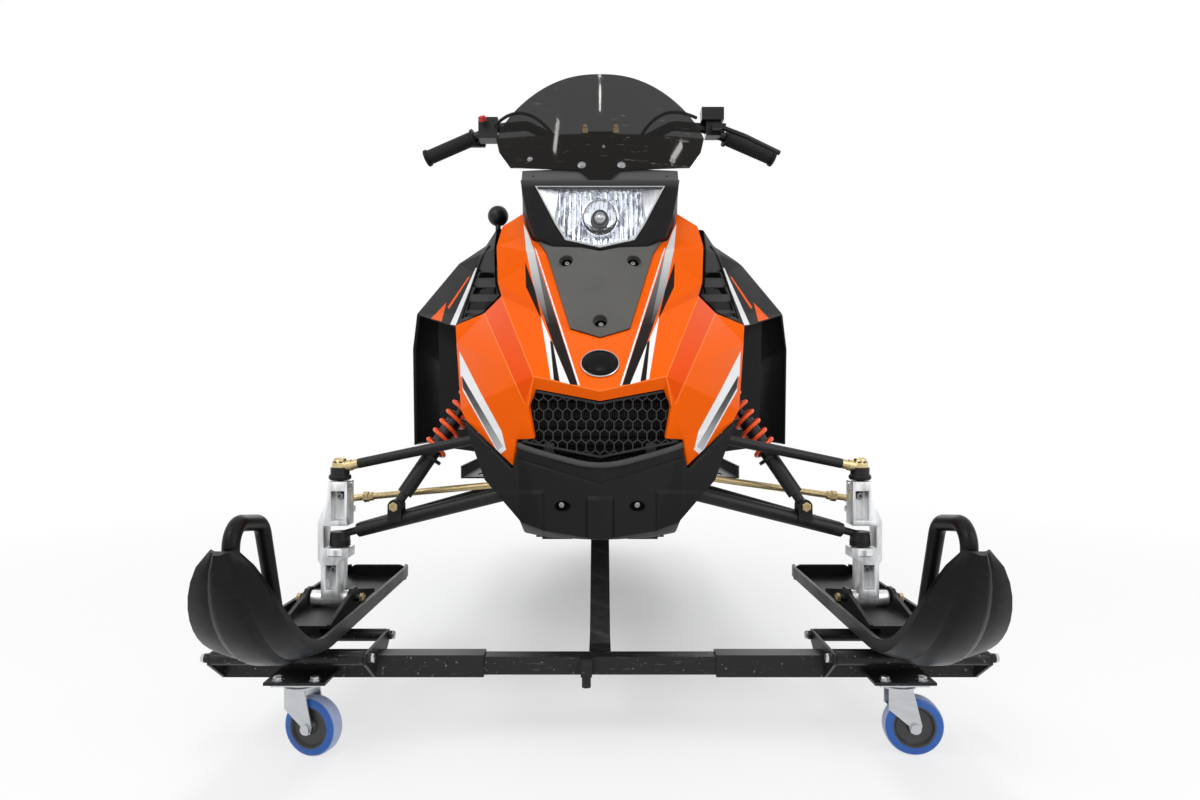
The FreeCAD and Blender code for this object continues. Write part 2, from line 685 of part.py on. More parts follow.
def ski_frame(angle):
    """A point of the curled sole in the middle of the ski, and the way up from it."""
    radius = size("ski_curl")
    turn = math.radians(angle)
    base = Vector(size("kingpin_x + ski_offset"), size("ski_bend"), size("ride_height"))
    spot = base + Vector(0, -radius * math.sin(turn), radius * (1 - math.cos(turn)))
    return spot, Vector(0, math.sin(turn), math.cos(turn))


TIP_STEPS = 14
TIP_ROUNDING = 0.42


def ski_section(spot, rise, spread, rim_share):
    """The ski's cross section: proud keel, a groove on each side, wings and rolled rims."""
    edge = size("ski_width / 2")
    keel = size("ski_keel / 2")
    groove = size("ski_groove")
    wall = size("ski_wall")
    lift = size("ski_edge_lift")
    rim = lift + size("ski_rim") * rim_share
    half = [(0.7 * keel, 0), (keel, 0.3 * groove), (1.3 * keel, groove), (0.6 * edge, 1.1 * groove),
            (0.85 * edge, 0.6 * lift + 0.4 * groove), (edge, lift), (edge, rim), (edge - 0.8 * wall, rim),
            (edge - 0.9 * wall, lift + 0.5 * wall), (0.6 * edge, 1.1 * groove + wall),
            (1.2 * keel, groove + wall)]
    outline_points = half + [(-x, up) for x, up in reversed(half)]
    return [spot + Vector(x * spread, 0, 0) + rise * up for x, up in outline_points]


def ski():
    """The left ski, lofted from its tail to the rounded, curled tip, with a wall across the tail."""
    tip_angle = math.degrees(math.asin(min(1, (size("ski_bend") - size("ski_tip")) / size("ski_curl"))))
    base, up = ski_frame(0)
    tail = Vector(base.x, size("ski_tail"), base.z)
    body = [ski_section(tail - Vector(0, back, 0), up, spread, 1)
            for back, spread in ((0, 0.9), (12, 0.97), (40, 1), (200, 1))]
    body.append(ski_section(base, up, 1, 1))
    curl = [body[-1]]
    for step in range(1, TIP_STEPS + 1):
        share = step / TIP_STEPS
        spot, rise = ski_frame(tip_angle * share)
        rounding = max(0, share - TIP_ROUNDING) / (1 - TIP_ROUNDING)
        spread = math.sqrt(1 - (0.97 * rounding) ** 2)
        curl.append(ski_section(spot, rise, spread, 1 - 0.8 * share))
    rim = size("ski_edge_lift + ski_rim")
    low = size("ski_groove")
    half = 0.88 * size("ski_width / 2")
    wall = Part.makeBox(2 * half, size("ski_wall"), rim - low, tail + Vector(-half, -size("ski_wall"), low))
    corners = [edge for edge in wall.Edges if abs(edge.Vertexes[0].Y - edge.Vertexes[-1].Y) > 1
               and edge.BoundBox.ZMin > tail.z + rim - 1]
    wall = wall.makeFillet(0.5 * (rim - low), corners)
    return loft(body).multiFuse([loft(curl), wall]).removeSplitter()


def ski_loop():
    """The pull handle that arches from the tip back to the deck."""
    x = size("kingpin_x + ski_offset")
    tip = size("ski_tip")
    top = size("loop_rise")
    foot = Vector(x, size("ski_bend - loop_foot"), size("ride_height + ski_groove + ski_wall + rest_gap"))
    path = [Vector(x, tip + 46, top - 60), Vector(x, tip + 46, top + 4), Vector(x, tip + 154, top - 10), foot]
    return sweep(path, size("loop_bar"), size("loop_bend"))


left_ski = feature("ski", ski())
left_loop = cut("loop", feature("loop_bar_left", ski_loop()), left_ski)
keep("ski_left", left_ski)
keep("ski_right", mirror("ski_other", left_ski))
keep("ski_loop_left", left_loop)
keep("ski_loop_right", mirror("loop_other", left_loop))

SKI_X = "(kingpin_x + ski_offset)"


def saddle():
    """Two walls on the ski's deck with the cross bolt through them."""
    deck = "ride_height + ski_groove + ski_wall + rest_gap"
    floor = box("saddle_floor", "ski_keel", "saddle_length", "14",
                (SKI_X + " - ski_keel / 2", "kingpin_y - saddle_length / 2", deck))
    bridge = box("saddle_bridge", "saddle_width", "saddle_length", "5",
                 (SKI_X + " - saddle_width / 2", "kingpin_y - saddle_length / 2", deck + " + 9"))
    wall = [("kingpin_y - saddle_length / 2", deck + " + 9"), ("kingpin_y + saddle_length / 2", deck + " + 9"),
            ("kingpin_y + saddle_length / 2", deck + " + 16"), ("kingpin_y + 24", "ski_bolt_z + 12"),
            ("kingpin_y + 12", "ski_bolt_z + 20"), ("kingpin_y - 12", "ski_bolt_z + 20"),
            ("kingpin_y - 24", "ski_bolt_z + 12"), ("kingpin_y - saddle_length / 2", deck + " + 16")]
    walls = [place(prism("saddle_wall_" + tag, "YZ_Plane", [wall], "saddle_wall"), (at, "0", "0"))
             for tag, at in (("outer", SKI_X + " + saddle_width / 2 - saddle_wall"),
                             ("inner", SKI_X + " - saddle_width / 2"))]
    bolt = rod("saddle_bolt", "ski_bolt", "saddle_width + 24",
               (SKI_X + " - saddle_width / 2 - 12", "kingpin_y", "ski_bolt_z"), "x")
    return fuse("saddle", floor, bridge, bolt, *walls)


left_saddle = saddle()
keep("saddle_left", left_saddle)
keep("saddle_right", mirror("saddle_other", left_saddle))


def spindle():
    """The cast upright: foot tube, legs, mouth for the lower arm, bosses and steering arm."""
    outside = [
        ("-boss_half + 2", "upper_boss"), ("boss_half - 4", "upper_boss"),
        ("boss_half - 3", "mouth_top + 45"), ("boss_half + 14", "mouth_top + 8"),
        ("boss_half + 14", "lower_boss - boss_height - 4"), ("boss_half + 8", "lower_boss - boss_height - 14"),
        ("boss_half + 8", "ski_bolt_z + 4"), ("-8", "ski_bolt_z + 4"),
        ("-8", "lower_boss - boss_height - 8"), ("-boss_half", "lower_boss - boss_height"),
        ("-boss_half", "lower_boss"), ("boss_half + 3", "lower_boss"),
        ("boss_half + 3", "mouth_top"), ("-boss_half + 2", "mouth_top"),
    ]
    casting = place(prism("spindle_casting", "XZ_Plane", [outside], "spindle_depth", symmetric=True),
                    ("kingpin_x", "kingpin_y", "0"))
    foot = rod("spindle_foot", "foot_diameter", "foot_width",
               (SKI_X + " - foot_width / 2", "kingpin_y", "ski_bolt_z"), "x")
    arm = box("spindle_arm", "18", "arm_radius", "12",
              ("kingpin_x - 9", "kingpin_y", "arm_boss - 12"))
    arm_end = rod("spindle_arm_end", "eye_diameter", "12", ("kingpin_x", "kingpin_y + arm_radius", "arm_boss - 12"))
    front = "kingpin_y - spindle_depth / 2"
    tools = [
        rod("foot_bore", "ski_bolt + 2 * fit_gap", "2 * foot_width",
            (SKI_X + " - foot_width", "kingpin_y", "ski_bolt_z"), "x"),
        rod("stud_bore_low", "stud_diameter + 2 * fit_gap", "2 * boss_height",
            ("kingpin_x", "kingpin_y", "lower_boss - 1.5 * boss_height")),
        rod("stud_bore_high", "stud_diameter + 2 * fit_gap", "boss_height + 20",
            ("kingpin_x", "kingpin_y", "upper_boss - boss_height")),
        rod("arm_bore", "eye_diameter / 2", "30", ("kingpin_x", "kingpin_y + arm_radius", "arm_boss - 20")),
        box("upper_channel", "2 * boss_half - 18", "spindle_depth - 10", "upper_boss - boss_height - mouth_top - 10",
            ("kingpin_x - boss_half + 7", front + " - 4", "mouth_top + 10")),
        box("lower_channel", "boss_half - 2", "spindle_depth - 10", "lower_boss - boss_height - ski_bolt_z - 34",
            ("kingpin_x + 1", front + " - 4", "ski_bolt_z + 20")),
    ]
    return cut("spindle", fuse("spindle_solid", casting, foot, arm, arm_end), *tools)


left_spindle = spindle()
keep("spindle_left", left_spindle)
keep("spindle_right", mirror("spindle_other", left_spindle))

# Front suspension arms


def arm_pair(name, joint, joint_diameter, joint_height, bar, root_z):
    """A wishbone: two tubes from the outer joint to bushes on the bulkhead, and its stud."""
    outer = point("kingpin_x", "kingpin_y", joint)
    shapes = []
    for pivot in ("arm_front", "arm_rear"):
        root = point("bulkhead_half + rest_gap + bush_diameter / 2", pivot, root_z)
        ahead = (root - outer).normalize()
        neck = outer + ahead * (size("boss_half") + 18)
        shapes.append(tube(neck, root, size(bar)))
        shapes.append(tube(outer + ahead * 4, neck, size(bar) * 0.5))
        half = Vector(0, size("bush_length") / 2, 0)
        shapes.append(tube(root - half, root + half, size("bush_diameter")))
    shapes.append(tube(outer - Z_AXIS * size(joint_height) / 2, outer + Z_AXIS * size(joint_height) / 2,
                       size(joint_diameter)))
    return shapes


def lower_arm():
    shapes = arm_pair("lower", "lower_joint", "ring_diameter", "ring_height", "lower_tube", "lower_root_z")
    joint = point("kingpin_x", "kingpin_y", "lower_joint")
    shapes.append(tube(point("kingpin_x", "kingpin_y", "lower_boss - boss_height - 4"), joint,
                       size("stud_diameter")))
    shapes.append(tube(point("kingpin_x", "kingpin_y", "lower_boss + 2"), joint, size("ring_diameter + 2")))
    shapes.append(shock_clevis())
    return shapes[0].multiFuse(shapes[1:]).removeSplitter()


def upper_arm():
    shapes = arm_pair("upper", "upper_joint", "end_diameter", "end_height", "upper_tube", "upper_root_z")
    joint = point("kingpin_x", "kingpin_y", "upper_joint")
    shapes.append(tube(point("kingpin_x", "kingpin_y", "upper_boss - boss_height - 4"), joint,
                       size("stud_diameter")))
    shapes.append(tube(point("kingpin_x", "kingpin_y", "upper_boss + 2"), joint, size("ring_diameter")))
    return shapes[0].multiFuse(shapes[1:]).removeSplitter()


def on_front_leg(x):
    """A point of the lower arm's front tube at a distance from the centre plane."""
    outer = point("kingpin_x", "kingpin_y", "lower_joint")
    root = point("bulkhead_half + rest_gap + bush_diameter / 2", "arm_front", "lower_root_z")
    return outer + (root - outer) * ((outer.x - x) / (outer.x - root.x))


def shock_foot():
    below = on_front_leg(size("shock_foot_x"))
    return Vector(below.x, below.y, size("shock_foot_z"))


def shock_head():
    return point("shock_head_x", "shock_head_y", "shock_head_z")


def shock_clevis():
    """Two ears and a pin on the lower arm's front tube."""
    foot = shock_foot()
    below = on_front_leg(size("shock_foot_x"))
    eye = size("shock_eye")
    half = eye / 2 + size("rest_gap")
    ears = []
    ear = size("clevis_wall")
    for sign in (-1, 1):
        face = foot.y + sign * half + (0 if sign > 0 else -ear)
        ears.append(Part.makeBox(eye, ear, foot.z - below.z, Vector(foot.x - eye / 2, face, below.z)))
        ears.append(Part.makeCylinder(eye / 2, ear, Vector(foot.x, face, foot.z), Y_AXIS))
    reach = Vector(0, half + 9, 0)
    ears.append(tube(foot - reach, foot + reach, size("shock_pin")))
    return ears[0].multiFuse(ears[1:])


left_lower = feature("lower_arm_left", lower_arm())
keep("lower_arms", gather("lower_arm_pair", left_lower, mirror("lower_arm_right", left_lower)))
left_upper = feature("upper_arm_left", upper_arm())
keep("upper_arms", gather("upper_arm_pair", left_upper, mirror("upper_arm_right", left_upper)))


def front_shock():
    """Damper body below, rod above, and an eye at each end."""
    foot, head = shock_foot(), shock_head()
    axis = (head - foot).normalize()
    eye = size("shock_eye")
    length = (head - foot).Length
    half = Vector(0, eye / 2, 0)
    side = Vector(eye / 2, 0, 0)
    neck = tube(foot, foot + axis * 30, 18)
    body = tube(foot + axis * 26, foot + axis * (0.62 * length), size("damper_diameter"))
    rod_bar = tube(foot + axis * (0.6 * length), head, size("damper_rod"))
    low_eye = tube(foot - half, foot + half, eye)
    high_eye = tube(head - side, head + side, eye)
    perch = tube(foot + axis * (0.34 * length), foot + axis * (0.36 * length), size("spring_diameter"))
    cap = tube(foot + axis * (0.88 * length), foot + axis * (0.90 * length), size("spring_diameter"))
    shape = body.multiFuse([neck, rod_bar, low_eye, high_eye, perch, cap])
    pin = size("shock_pin + 2 * fit_gap")
    shape = shape.cut(tube(foot - half * 2, foot + half * 2, pin))
    return shape.cut(tube(head - side * 2, head + side * 2, pin)).removeSplitter()


def front_spring():
    """The coil between the damper's perch and cap."""
    foot, head = shock_foot(), shock_head()
    length = (head - foot).Length
    wire_size = size("spring_wire")
    low = 0.36 * length + wire_size / 2 + size("rest_gap")
    high = 0.88 * length - wire_size / 2 - size("rest_gap")
    radius = (size("spring_diameter") - wire_size) / 2
    helix = Part.makeHelix((high - low) / size("spring_turns"), high - low, radius)
    section = Part.Wire(Part.makeCircle(wire_size / 2, Vector(radius, 0, 0), Y_AXIS))
    coil = Part.Wire(helix.Edges).makePipeShell([section], True, True)
    axis = (head - foot).normalize()
    coil.Placement = Placement(foot + axis * low, Rotation(Z_AXIS, axis))
    return coil


for label, shape in (("front_shocks", front_shock()), ("front_springs", front_spring())):
    left = feature(label + "_left", shape)
    keep(label, gather(label + "_pair", left, mirror(label + "_right", left)))

# Steering


def steer_point(x, y, up):
    """A point given in the steering post's own directions from the handlebar's middle."""
    rake = math.radians(size("steer_rake"))
    back = Vector(0, math.cos(rake), -math.sin(rake))
    along = Vector(0, math.sin(rake), math.cos(rake))
    return Vector(x, size("steer_y"), size("steer_z")) + back * y + along * up


def steering_post():
    """Post, pitman arm with its pin, and the clamp that holds the bar."""
    length = size("post_length")
    radius = size("arm_radius")
    wall = size("pitman_wall")
    foot = steer_point(0, 0, -length - wall / 2)
    spin = Rotation(X_AXIS, -size("steer_rake"))
    post = tube(foot, steer_point(0, 0, -20), size("post_diameter"))
    arm = Part.makeBox(26, radius, wall, Vector(-13, 0, -wall / 2))
    arm.Placement = Placement(steer_point(0, 0, -length), spin)
    pin = tube(steer_point(0, radius, -length - wall / 2 - 14), steer_point(0, radius, -length + wall / 2 + 14),
               size("stud_diameter"))
    arm_end = tube(steer_point(0, radius, -length - wall / 2), steer_point(0, radius, -length + wall / 2), 26)
    clamp = Part.makeBox(84, 40, 34, Vector(-42, -20, -17))
    clamp.Placement = Placement(steer_point(0, 0, -6), spin)
    bar_room = tube(Vector(-60, size("steer_y"), size("steer_z")), Vector(60, size("steer_y"), size("steer_z")),
                    size("bar_diameter + 2 * fit_gap"))
    return post.multiFuse([arm, arm_end, pin, clamp]).cut(bar_room).removeSplitter()


def bar_points():
    """The left half of the handlebar's middle line, from the centre plane out."""
    y, z = size("steer_y"), size("steer_z")
    return [Vector(95, y, z), Vector(165, y - 6, z + 34), Vector(size("grip_start - 50"), y, z + 30),
            Vector(size("bar_half"), y + 34, z - 28)]


def grip_line():
    """The straight outer run of the left half of the handlebar."""
    inner, outer = bar_points()[-2:]
    return inner, outer


def handlebar(clearance=0):
    half = bar_points()
    whole = [Vector(-spot.x, spot.y, spot.z) for spot in reversed(half)] + half
    return sweep(whole, size("bar_diameter") + 2 * clearance, 40)


def grip():
    """A rubber sleeve with a flange at each end, closed over the bar's end."""
    inner, outer = grip_line()
    axis = (outer - inner).normalize()
    start = inner + axis * ((size("grip_start") - inner.x) / axis.x)
    end = outer + axis * 4
    shape = tube(start, end, size("grip_diameter"))
    shape = shape.fuse(tube(start, start + axis * 5, size("grip_diameter + 8")))
    shape = shape.fuse(tube(end - axis * 6, end, size("grip_diameter + 6")))
    return shape.cut(tube(start - axis * 5, outer + axis * size("rest_gap"), size("bar_diameter + 2 * fit_gap")))


def brake_control():
    """Left of the rider: clamp, fluid reservoir and lever ahead of the grip."""
    inner, outer = grip_line()
    axis = (outer - inner).normalize()
    at = inner + axis * 22
    body = Part.makeBox(34, 36, 34, at + Vector(-17, -24, -15))
    pot = Part.makeBox(50, 38, 28, at + Vector(-28, -34, 18))
    arm = Part.makeBox(30, 30, 12, at + Vector(-6, -50, -8))
    start = at + Vector(12, -44, -2)
    lever = sweep([start, start + axis * 60 + Vector(0, -8, 0), start + axis * 150 + Vector(0, 2, 0)], 11, 30)
    return body.multiFuse([pot, arm, lever]).cut(handlebar(size("fit_gap")))


def throttle_control():
    """Right of the rider: switch block with its thumb lever behind the bar."""
    inner, outer = [Vector(-spot.x, spot.y, spot.z) for spot in grip_line()]
    axis = (outer - inner).normalize()
    at = inner + axis * 20
    block = Part.makeBox(44, 44, 48, at + Vector(-20, -24, -22))
    stem = Part.makeBox(12, 26, 10, at + Vector(-22, 14, -20))
    thumb = Part.makeBox(46, 8, 14, at + Vector(-58, 34, -24))
    return block.multiFuse([stem, thumb]).cut(handlebar(size("fit_gap")))


keep("steering_post", feature("post", steering_post()))
keep("handlebar", feature("bar", handlebar()))
left_grip = feature("grip_left", grip())
keep("grips", gather("grip_pair", left_grip, mirror("grip_right", left_grip)))
keep("brake_control", feature("brake", brake_control()))
keep("throttle_control", feature("throttle", throttle_control()))


def tie_rod(side):
    """Rod from the pitman arm's pin to above the spindle's steering arm."""
    sign = 1 if side == "left" else -1
    radius = size("arm_radius")
    level = sign * (size("pitman_wall") / 2 + size("rest_gap") + size("eye_height") / 2)
    hub = steer_point(0, radius, -size("post_length") + level)
    along = steer_point(0, 0, 1) - steer_point(0, 0, 0)
    eye = size("eye_height")
    inner_eye = tube(hub - along * eye / 2, hub + along * eye / 2, size("eye_diameter"))
    half = Z_AXIS * size("outer_eye") / 2
    far = point("kingpin_x", "kingpin_y + arm_radius", "rod_outer_z + outer_eye / 2")
    far.x *= sign
    outer_eye = tube(far - half, far + half, size("eye_diameter"))
    stud = tube(far - half - Z_AXIS * 14, far, 9)
    bar = tube(hub, far, size("rod_diameter"))
    shape = bar.multiFuse([inner_eye, outer_eye, stud])
    return shape.cut(tube(hub - along * eye * 2, hub + along * eye * 2,
                          size("stud_diameter + 2 * fit_gap"))).removeSplitter()


for side in ("left", "right"):
    keep("tie_rod_" + side, feature("tie_" + side, tie_rod(side)))

# Chassis

roof = "tunnel_top"
half = "tunnel_width / 2"
wall = "tunnel_wall"
tunnel = prism("tunnel_sheet", "XZ_Plane", [[
    ("-" + half, "board_z"), ("-" + half, roof), (half, roof), (half, "board_z"),
    (half + " - " + wall, "board_z"), (half + " - " + wall, roof + " - " + wall),
    ("-" + half + " + " + wall, roof + " - " + wall), ("-" + half + " + " + wall, "board_z")]],
    "tunnel_rear - tunnel_front", reverse=True)
place(tunnel, ("0", "tunnel_front", "0"))
landing = box("rack_landing", "2 * landing_half", "tunnel_rear - landing_margin - landing_front", "landing_lift",
              ("-landing_half", "landing_front", "tunnel_top"))
keep("tunnel", fuse("tunnel_body", tunnel, landing))

edge = half + " + board_width"
left_board = prism("board_sheet", "XZ_Plane", [[
    (half, "board_z - " + wall), (edge, "board_z - " + wall), (edge, "board_z + board_lip"),
    (edge + " - " + wall, "board_z + board_lip"), (edge + " - " + wall, "board_z"), (half, "board_z")]],
    "board_rear - board_front", reverse=True)
place(left_board, ("0", "board_front", "0"))
slots = [
    box("board_slot_%d_%d" % (row, column), "slot_width", "slot_length", "4 * tunnel_wall",
        (half + " + 22 + %d * slot_pitch" % column, "board_front + 60 + %d * 2.2 * slot_length" % row,
         "board_z - 2 * tunnel_wall"))
    for row in range(12) for column in range(2)]
slotted_board = cut("slotted_board", left_board, *slots)
keep("running_boards", gather("boards", slotted_board, mirror("board_right", slotted_board)))


def bulkhead():
    """Side plates with shock towers, floor, rear wall and shock pins."""
    side = [
        ("bulkhead_front", "bulkhead_base"), ("tunnel_front", "bulkhead_base"), ("tunnel_front", "tunnel_top"),
        ("shock_head_y + 75", "tunnel_top"), ("shock_head_y + 38", "shock_head_z + 24"),
        ("shock_head_y - 38", "shock_head_z + 24"), ("shock_head_y - 75", "tunnel_top"),
        ("bulkhead_front", "upper_root_z + 24")]
    window = [
        ("kingpin_y - 16", "bulkhead_base + 16"), ("kingpin_y + arm_radius", "bulkhead_base + 16"),
        ("kingpin_y + arm_radius", "upper_root_z - 40"), ("kingpin_y - 16", "upper_root_z - 40")]
    plate = place(prism("bulkhead_side", "YZ_Plane", [side, window], "bulkhead_wall"),
                  ("bulkhead_half - bulkhead_wall", "0", "0"))
    floor = box("bulkhead_floor", "2 * bulkhead_half", "tunnel_front - bulkhead_front", "bulkhead_wall",
                ("-bulkhead_half", "bulkhead_front", "bulkhead_base"))
    rear = box("bulkhead_rear", "tunnel_width", "bulkhead_wall", "tunnel_top - bulkhead_base",
               ("-tunnel_width / 2", "tunnel_front - bulkhead_wall", "bulkhead_base"))
    pin = rod("tower_pin", "shock_pin", "shock_head_x + shock_eye - bulkhead_half",
              ("bulkhead_half", "shock_head_y", "shock_head_z"), "x")
    bar = box("grille_bar", "2 * bulkhead_half", "bulkhead_wall", "40",
              ("-bulkhead_half", "bulkhead_front", "upper_root_z - 45"))
    bridge = box("bearing_bridge", "2 * (bulkhead_half - bulkhead_wall)", "70", "bridge_wall",
                 ("bulkhead_wall - bulkhead_half",
                  "steer_y - bridge_drop * sin(steer_rake) - 35 * cos(steer_rake)",
                  "steer_z - bridge_drop * cos(steer_rake) + 35 * sin(steer_rake)"),
                 (X_AXIS, -size("steer_rake")))
    bearing = feature("steering_bearing", tube(steer_point(0, 0, -size("bridge_drop") - 20),
                                               steer_point(0, 0, -size("bridge_drop") + 30),
                                               size("post_diameter + 2 * fit_gap")))
    body = fuse("bulkhead_body", plate, mirror("bulkhead_side_right", plate), floor, rear, bar, bridge,
                pin, mirror("tower_pin_right", pin))
    return cut("bulkhead_frame", body, bearing)


keep("bulkhead", bulkhead())
keep("engine", box("engine_block", "2 * engine_half", "engine_rear - engine_front", "engine_top - bulkhead_base - bulkhead_wall - rest_gap",
                   ("-engine_half", "engine_front", "bulkhead_base + bulkhead_wall + rest_gap")))

FOCUS = Vector(0, -780, 640)


def nacelle(margin=0):
    """The headlamp housing between hood and windshield."""
    front = [(0, 898), (92, 906), (127, 927), (141, 963), (152, 1017), (158, 1060)]
    rear = [(0, 872), (100, 880), (146, 905), (160, 950), (160, 1010), (146, 1064)]
    sections = []
    for y, half_points in ((-885, front), (size("tank_front"), rear)):
        grown = [(x + (margin if x else 0), z - margin) for x, z in half_points[:-1]]
        grown.append((half_points[-1][0] + margin, half_points[-1][1] + margin))
        ring = grown + [(-x, z) for x, z in reversed(grown[1:])]
        sections.append([Vector(x, y, z) for x, z in ring])
    if margin:
        sections.insert(0, [Vector(spot.x, spot.y - 60, spot.z) for spot in sections[0]])
    return loft(sections)


LAMP = [(0, 903), (68, 918), (87, 948), (126, 1022), (-126, 1022), (-87, 948), (-68, 918)]


def lamp_block(margin, front, rear):
    ring = []
    for x, z in LAMP:
        side_step = margin * (x > 0) - margin * (x < 0)
        ring.append(Vector(x + side_step, front, z + (margin if z > 1000 else -margin)))
    return Part.Face(wire(ring)).extrude(Vector(0, rear - front, 0))



def shield_drum(inset):
    """The leaning cylinder whose front is the windshield's face, drawn in by an inset."""
    lean = Vector(0, 104, 228).normalize()
    radius = size("shield_radius")
    foot = Vector(0, -873, 1056) + Vector(0, lean.z, -lean.y) * radius - lean * 300
    return Part.makeCylinder(radius - inset, 900, foot, lean)


step = Part.makeBox(500, 300, 100, Vector(-250, -1000, size("shield_foot - rest_gap")))
step = step.cut(shield_drum(size("shield_wall + rest_gap")))
nacelle_shape = nacelle().cut(lamp_block(size("rest_gap"), -900, -850)).cut(step)
keep("nacelle", feature("nacelle_housing", nacelle_shape))
keep("headlamp", feature("headlamp_lens", lamp_block(0, -886, -850 - size("rest_gap"))))

HOOD = [
    Vector(149, -847, 980), Vector(196, -834, 955), Vector(208, -834, 915), Vector(204, -847, 841),
    Vector(195, -860, 812), Vector(230, -847, 780), Vector(290, -834, 757), Vector(286, -847, 720),
    Vector(258, -962, 588), Vector(244, -978, 567), Vector(154, -1034, 490), Vector(147, -1042, 537),
    Vector(115, -1055, 539), Vector(125, -1055, 597), Vector(113, -1055, 626), Vector(0, -1081, 605),
    Vector(115, -1068, 648), Vector(0, -1094, 622), Vector(0, -1003, 719), Vector(54, -990, 736),
    Vector(103, -886, 890), Vector(130, -860, 932)]
HOOD_FACES = [
    (18, 17, 16, 19), (19, 16, 4), (19, 4, 3), (19, 3, 20), (20, 3, 2), (20, 2, 21), (21, 2, 1), (21, 1, 0),
    (16, 5, 4), (17, 15, 14, 16), (5, 16, 7), (5, 7, 6), (16, 8, 7), (16, 13, 8), (16, 14, 13),
    (13, 12, 11), (13, 11, 8), (11, 10, 9), (11, 9, 8)]


def arm_notch():
    """Room for the upper arms where they pass the mouldings."""
    outer = point("kingpin_x", "kingpin_y", "upper_joint")
    notches = []
    for pivot in ("arm_front", "arm_rear"):
        root = point("bulkhead_half + rest_gap + bush_diameter / 2", pivot, "upper_root_z")
        notch = tube(root + (root - outer) * 0.15, outer, size("upper_tube") + 14)
        notches += [notch, mirrored(notch)]
    return Part.makeCompound(notches)


hood_shape = skin(HOOD, HOOD_FACES, FOCUS, size("panel_keep"))
keep("hood", feature("hood_shell", hood_shape.cut(nacelle(1.5)).cut(arm_notch())))



def layer(points, faces, lift, thickness):
    """A thin cover that follows facets, lifted off them and thickened the same way."""
    pieces = []
    for face in faces:
        for b, c in zip(face[1:], face[2:]):
            corners = [points[index] + AWAY * lift for index in (face[0], b, c)]
            pieces.append(Part.Face(wire(corners)).extrude(AWAY * thickness))
    cover = pieces[0].multiFuse(pieces[1:])
    return cover.fuse(mirrored(cover)).removeSplitter()


PANEL = [Vector(0, -1003, 719), Vector(54, -990, 736), Vector(103, -886, 890), Vector(122, -869, 919),
         Vector(0, -912, 889)]
PANEL_BOLTS = [(-65, 873), (65, 873), (0, 751)]
AWAY = Vector(0, -0.84, 0.54)


def bolt_cup(cover, x, z):
    """A moulded cup with a flat floor behind the cover, and the bore that opens it."""
    sight = Part.makeLine(Vector(x, -1400, z), Vector(x, -600, z)).common(cover)
    mouth = Vector(x, min(corner.Y for corner in sight.Vertexes), z)
    radius = size("cup_diameter") / 2
    wall = size("cup_wall")
    depth = size("cup_depth")
    well = Part.makeCylinder(radius + wall, depth, mouth - AWAY * (depth + 1), AWAY)
    bore = Part.makeCylinder(radius, 3 * depth, mouth - AWAY * (depth + 1 - wall), AWAY)
    return well, bore


def hood_panel():
    """The matt centre cover with three bolt cups."""
    cover = layer(PANEL, [(0, 1, 4), (4, 1, 2), (4, 2, 3)], size("rest_gap"), size("panel_wall"))
    cups = [bolt_cup(cover, x, z) for x, z in PANEL_BOLTS]
    return cover.multiFuse([well for well, bore in cups]).cut(Part.makeCompound([bore for well, bore in cups]))


keep("hood_panel", feature("hood_panel_cover", hood_panel().cut(nacelle(1.5))))

BELLY = [
    Vector(0, -1094, 494), Vector(143, -1058, 527), Vector(156, -1042, 483), Vector(251, -985, 569),
    Vector(209, -1003, 461), Vector(142, -1042, 393), Vector(95, -1068, 381), Vector(0, -1107, 372),
    Vector(0, -640, size("belly_z")), Vector(95, -640, size("belly_z")), Vector(142, -640, 362),
    Vector(0, -960, size("belly_z")), Vector(95, -960, size("belly_z")), Vector(142, -960, 362)]
BELLY_FACES = [(0, 1, 6, 7), (1, 2, 5, 6), (2, 3, 4), (2, 4, 5), (7, 6, 12, 11), (6, 5, 13, 12),
               (11, 12, 9, 8), (12, 13, 10, 9)]
belly_shape = skin(BELLY, BELLY_FACES, Vector(0, -820, 620), size("panel_keep"))
belly_parts = belly_shape.cut(arm_notch()).Solids
keep("belly_pan", feature("belly_shell", max(belly_parts, key=lambda solid: solid.Volume)))


def grille():
    """A pressed screen whose thin hexagonal web runs out to a narrow rim."""
    face = size("grille_front")
    wall = size("grille_wall")
    outline_points = [(0, 603), (116, 625), (128, 598), (118, 546), (140, 533), (0, 505)]
    ring = wire([Vector(x, face, z) for x, z in outline_points +
                 [(-x, z) for x, z in reversed(outline_points[1:-1])]])
    plate = Part.Face(ring).extrude(Vector(0, wall, 0))
    open_ring = ring.makeOffset2D(-size("grille_rim"), 2)
    window = Part.Face(open_ring).extrude(Vector(0, 3 * wall, 0))
    window.translate(Vector(0, -wall, 0))
    pitch, rise = size("cell_pitch"), size("cell_rise")
    half_x = (pitch - size("cell_web")) / 2
    half_z, cap = 0.6 * rise, 0.3 * rise
    cells = []
    for row in range(-4, 5):
        for column in range(-9, 10):
            x = (column + (0.5 if row % 2 else 0)) * pitch
            z = size("cell_middle") + row * rise
            corners = [(x - half_x, z - cap), (x, z - half_z), (x + half_x, z - cap),
                       (x + half_x, z + cap), (x, z + half_z), (x - half_x, z + cap)]
            hexagon = Part.Face(wire([Vector(a, face - wall, b) for a, b in corners]))
            cells.append(hexagon.extrude(Vector(0, 3 * wall, 0)))
    holes = Part.makeCompound(cells).common(window)
    back = face + wall - 1
    reach = size("bulkhead_front - rest_gap") - back
    tabs = [Part.makeBox(18, reach, 24, Vector(x, back, 507)) for x in (-99, 81)]
    return plate.cut(holes).multiFuse(tabs)


keep("grille", feature("grille_screen", grille()))


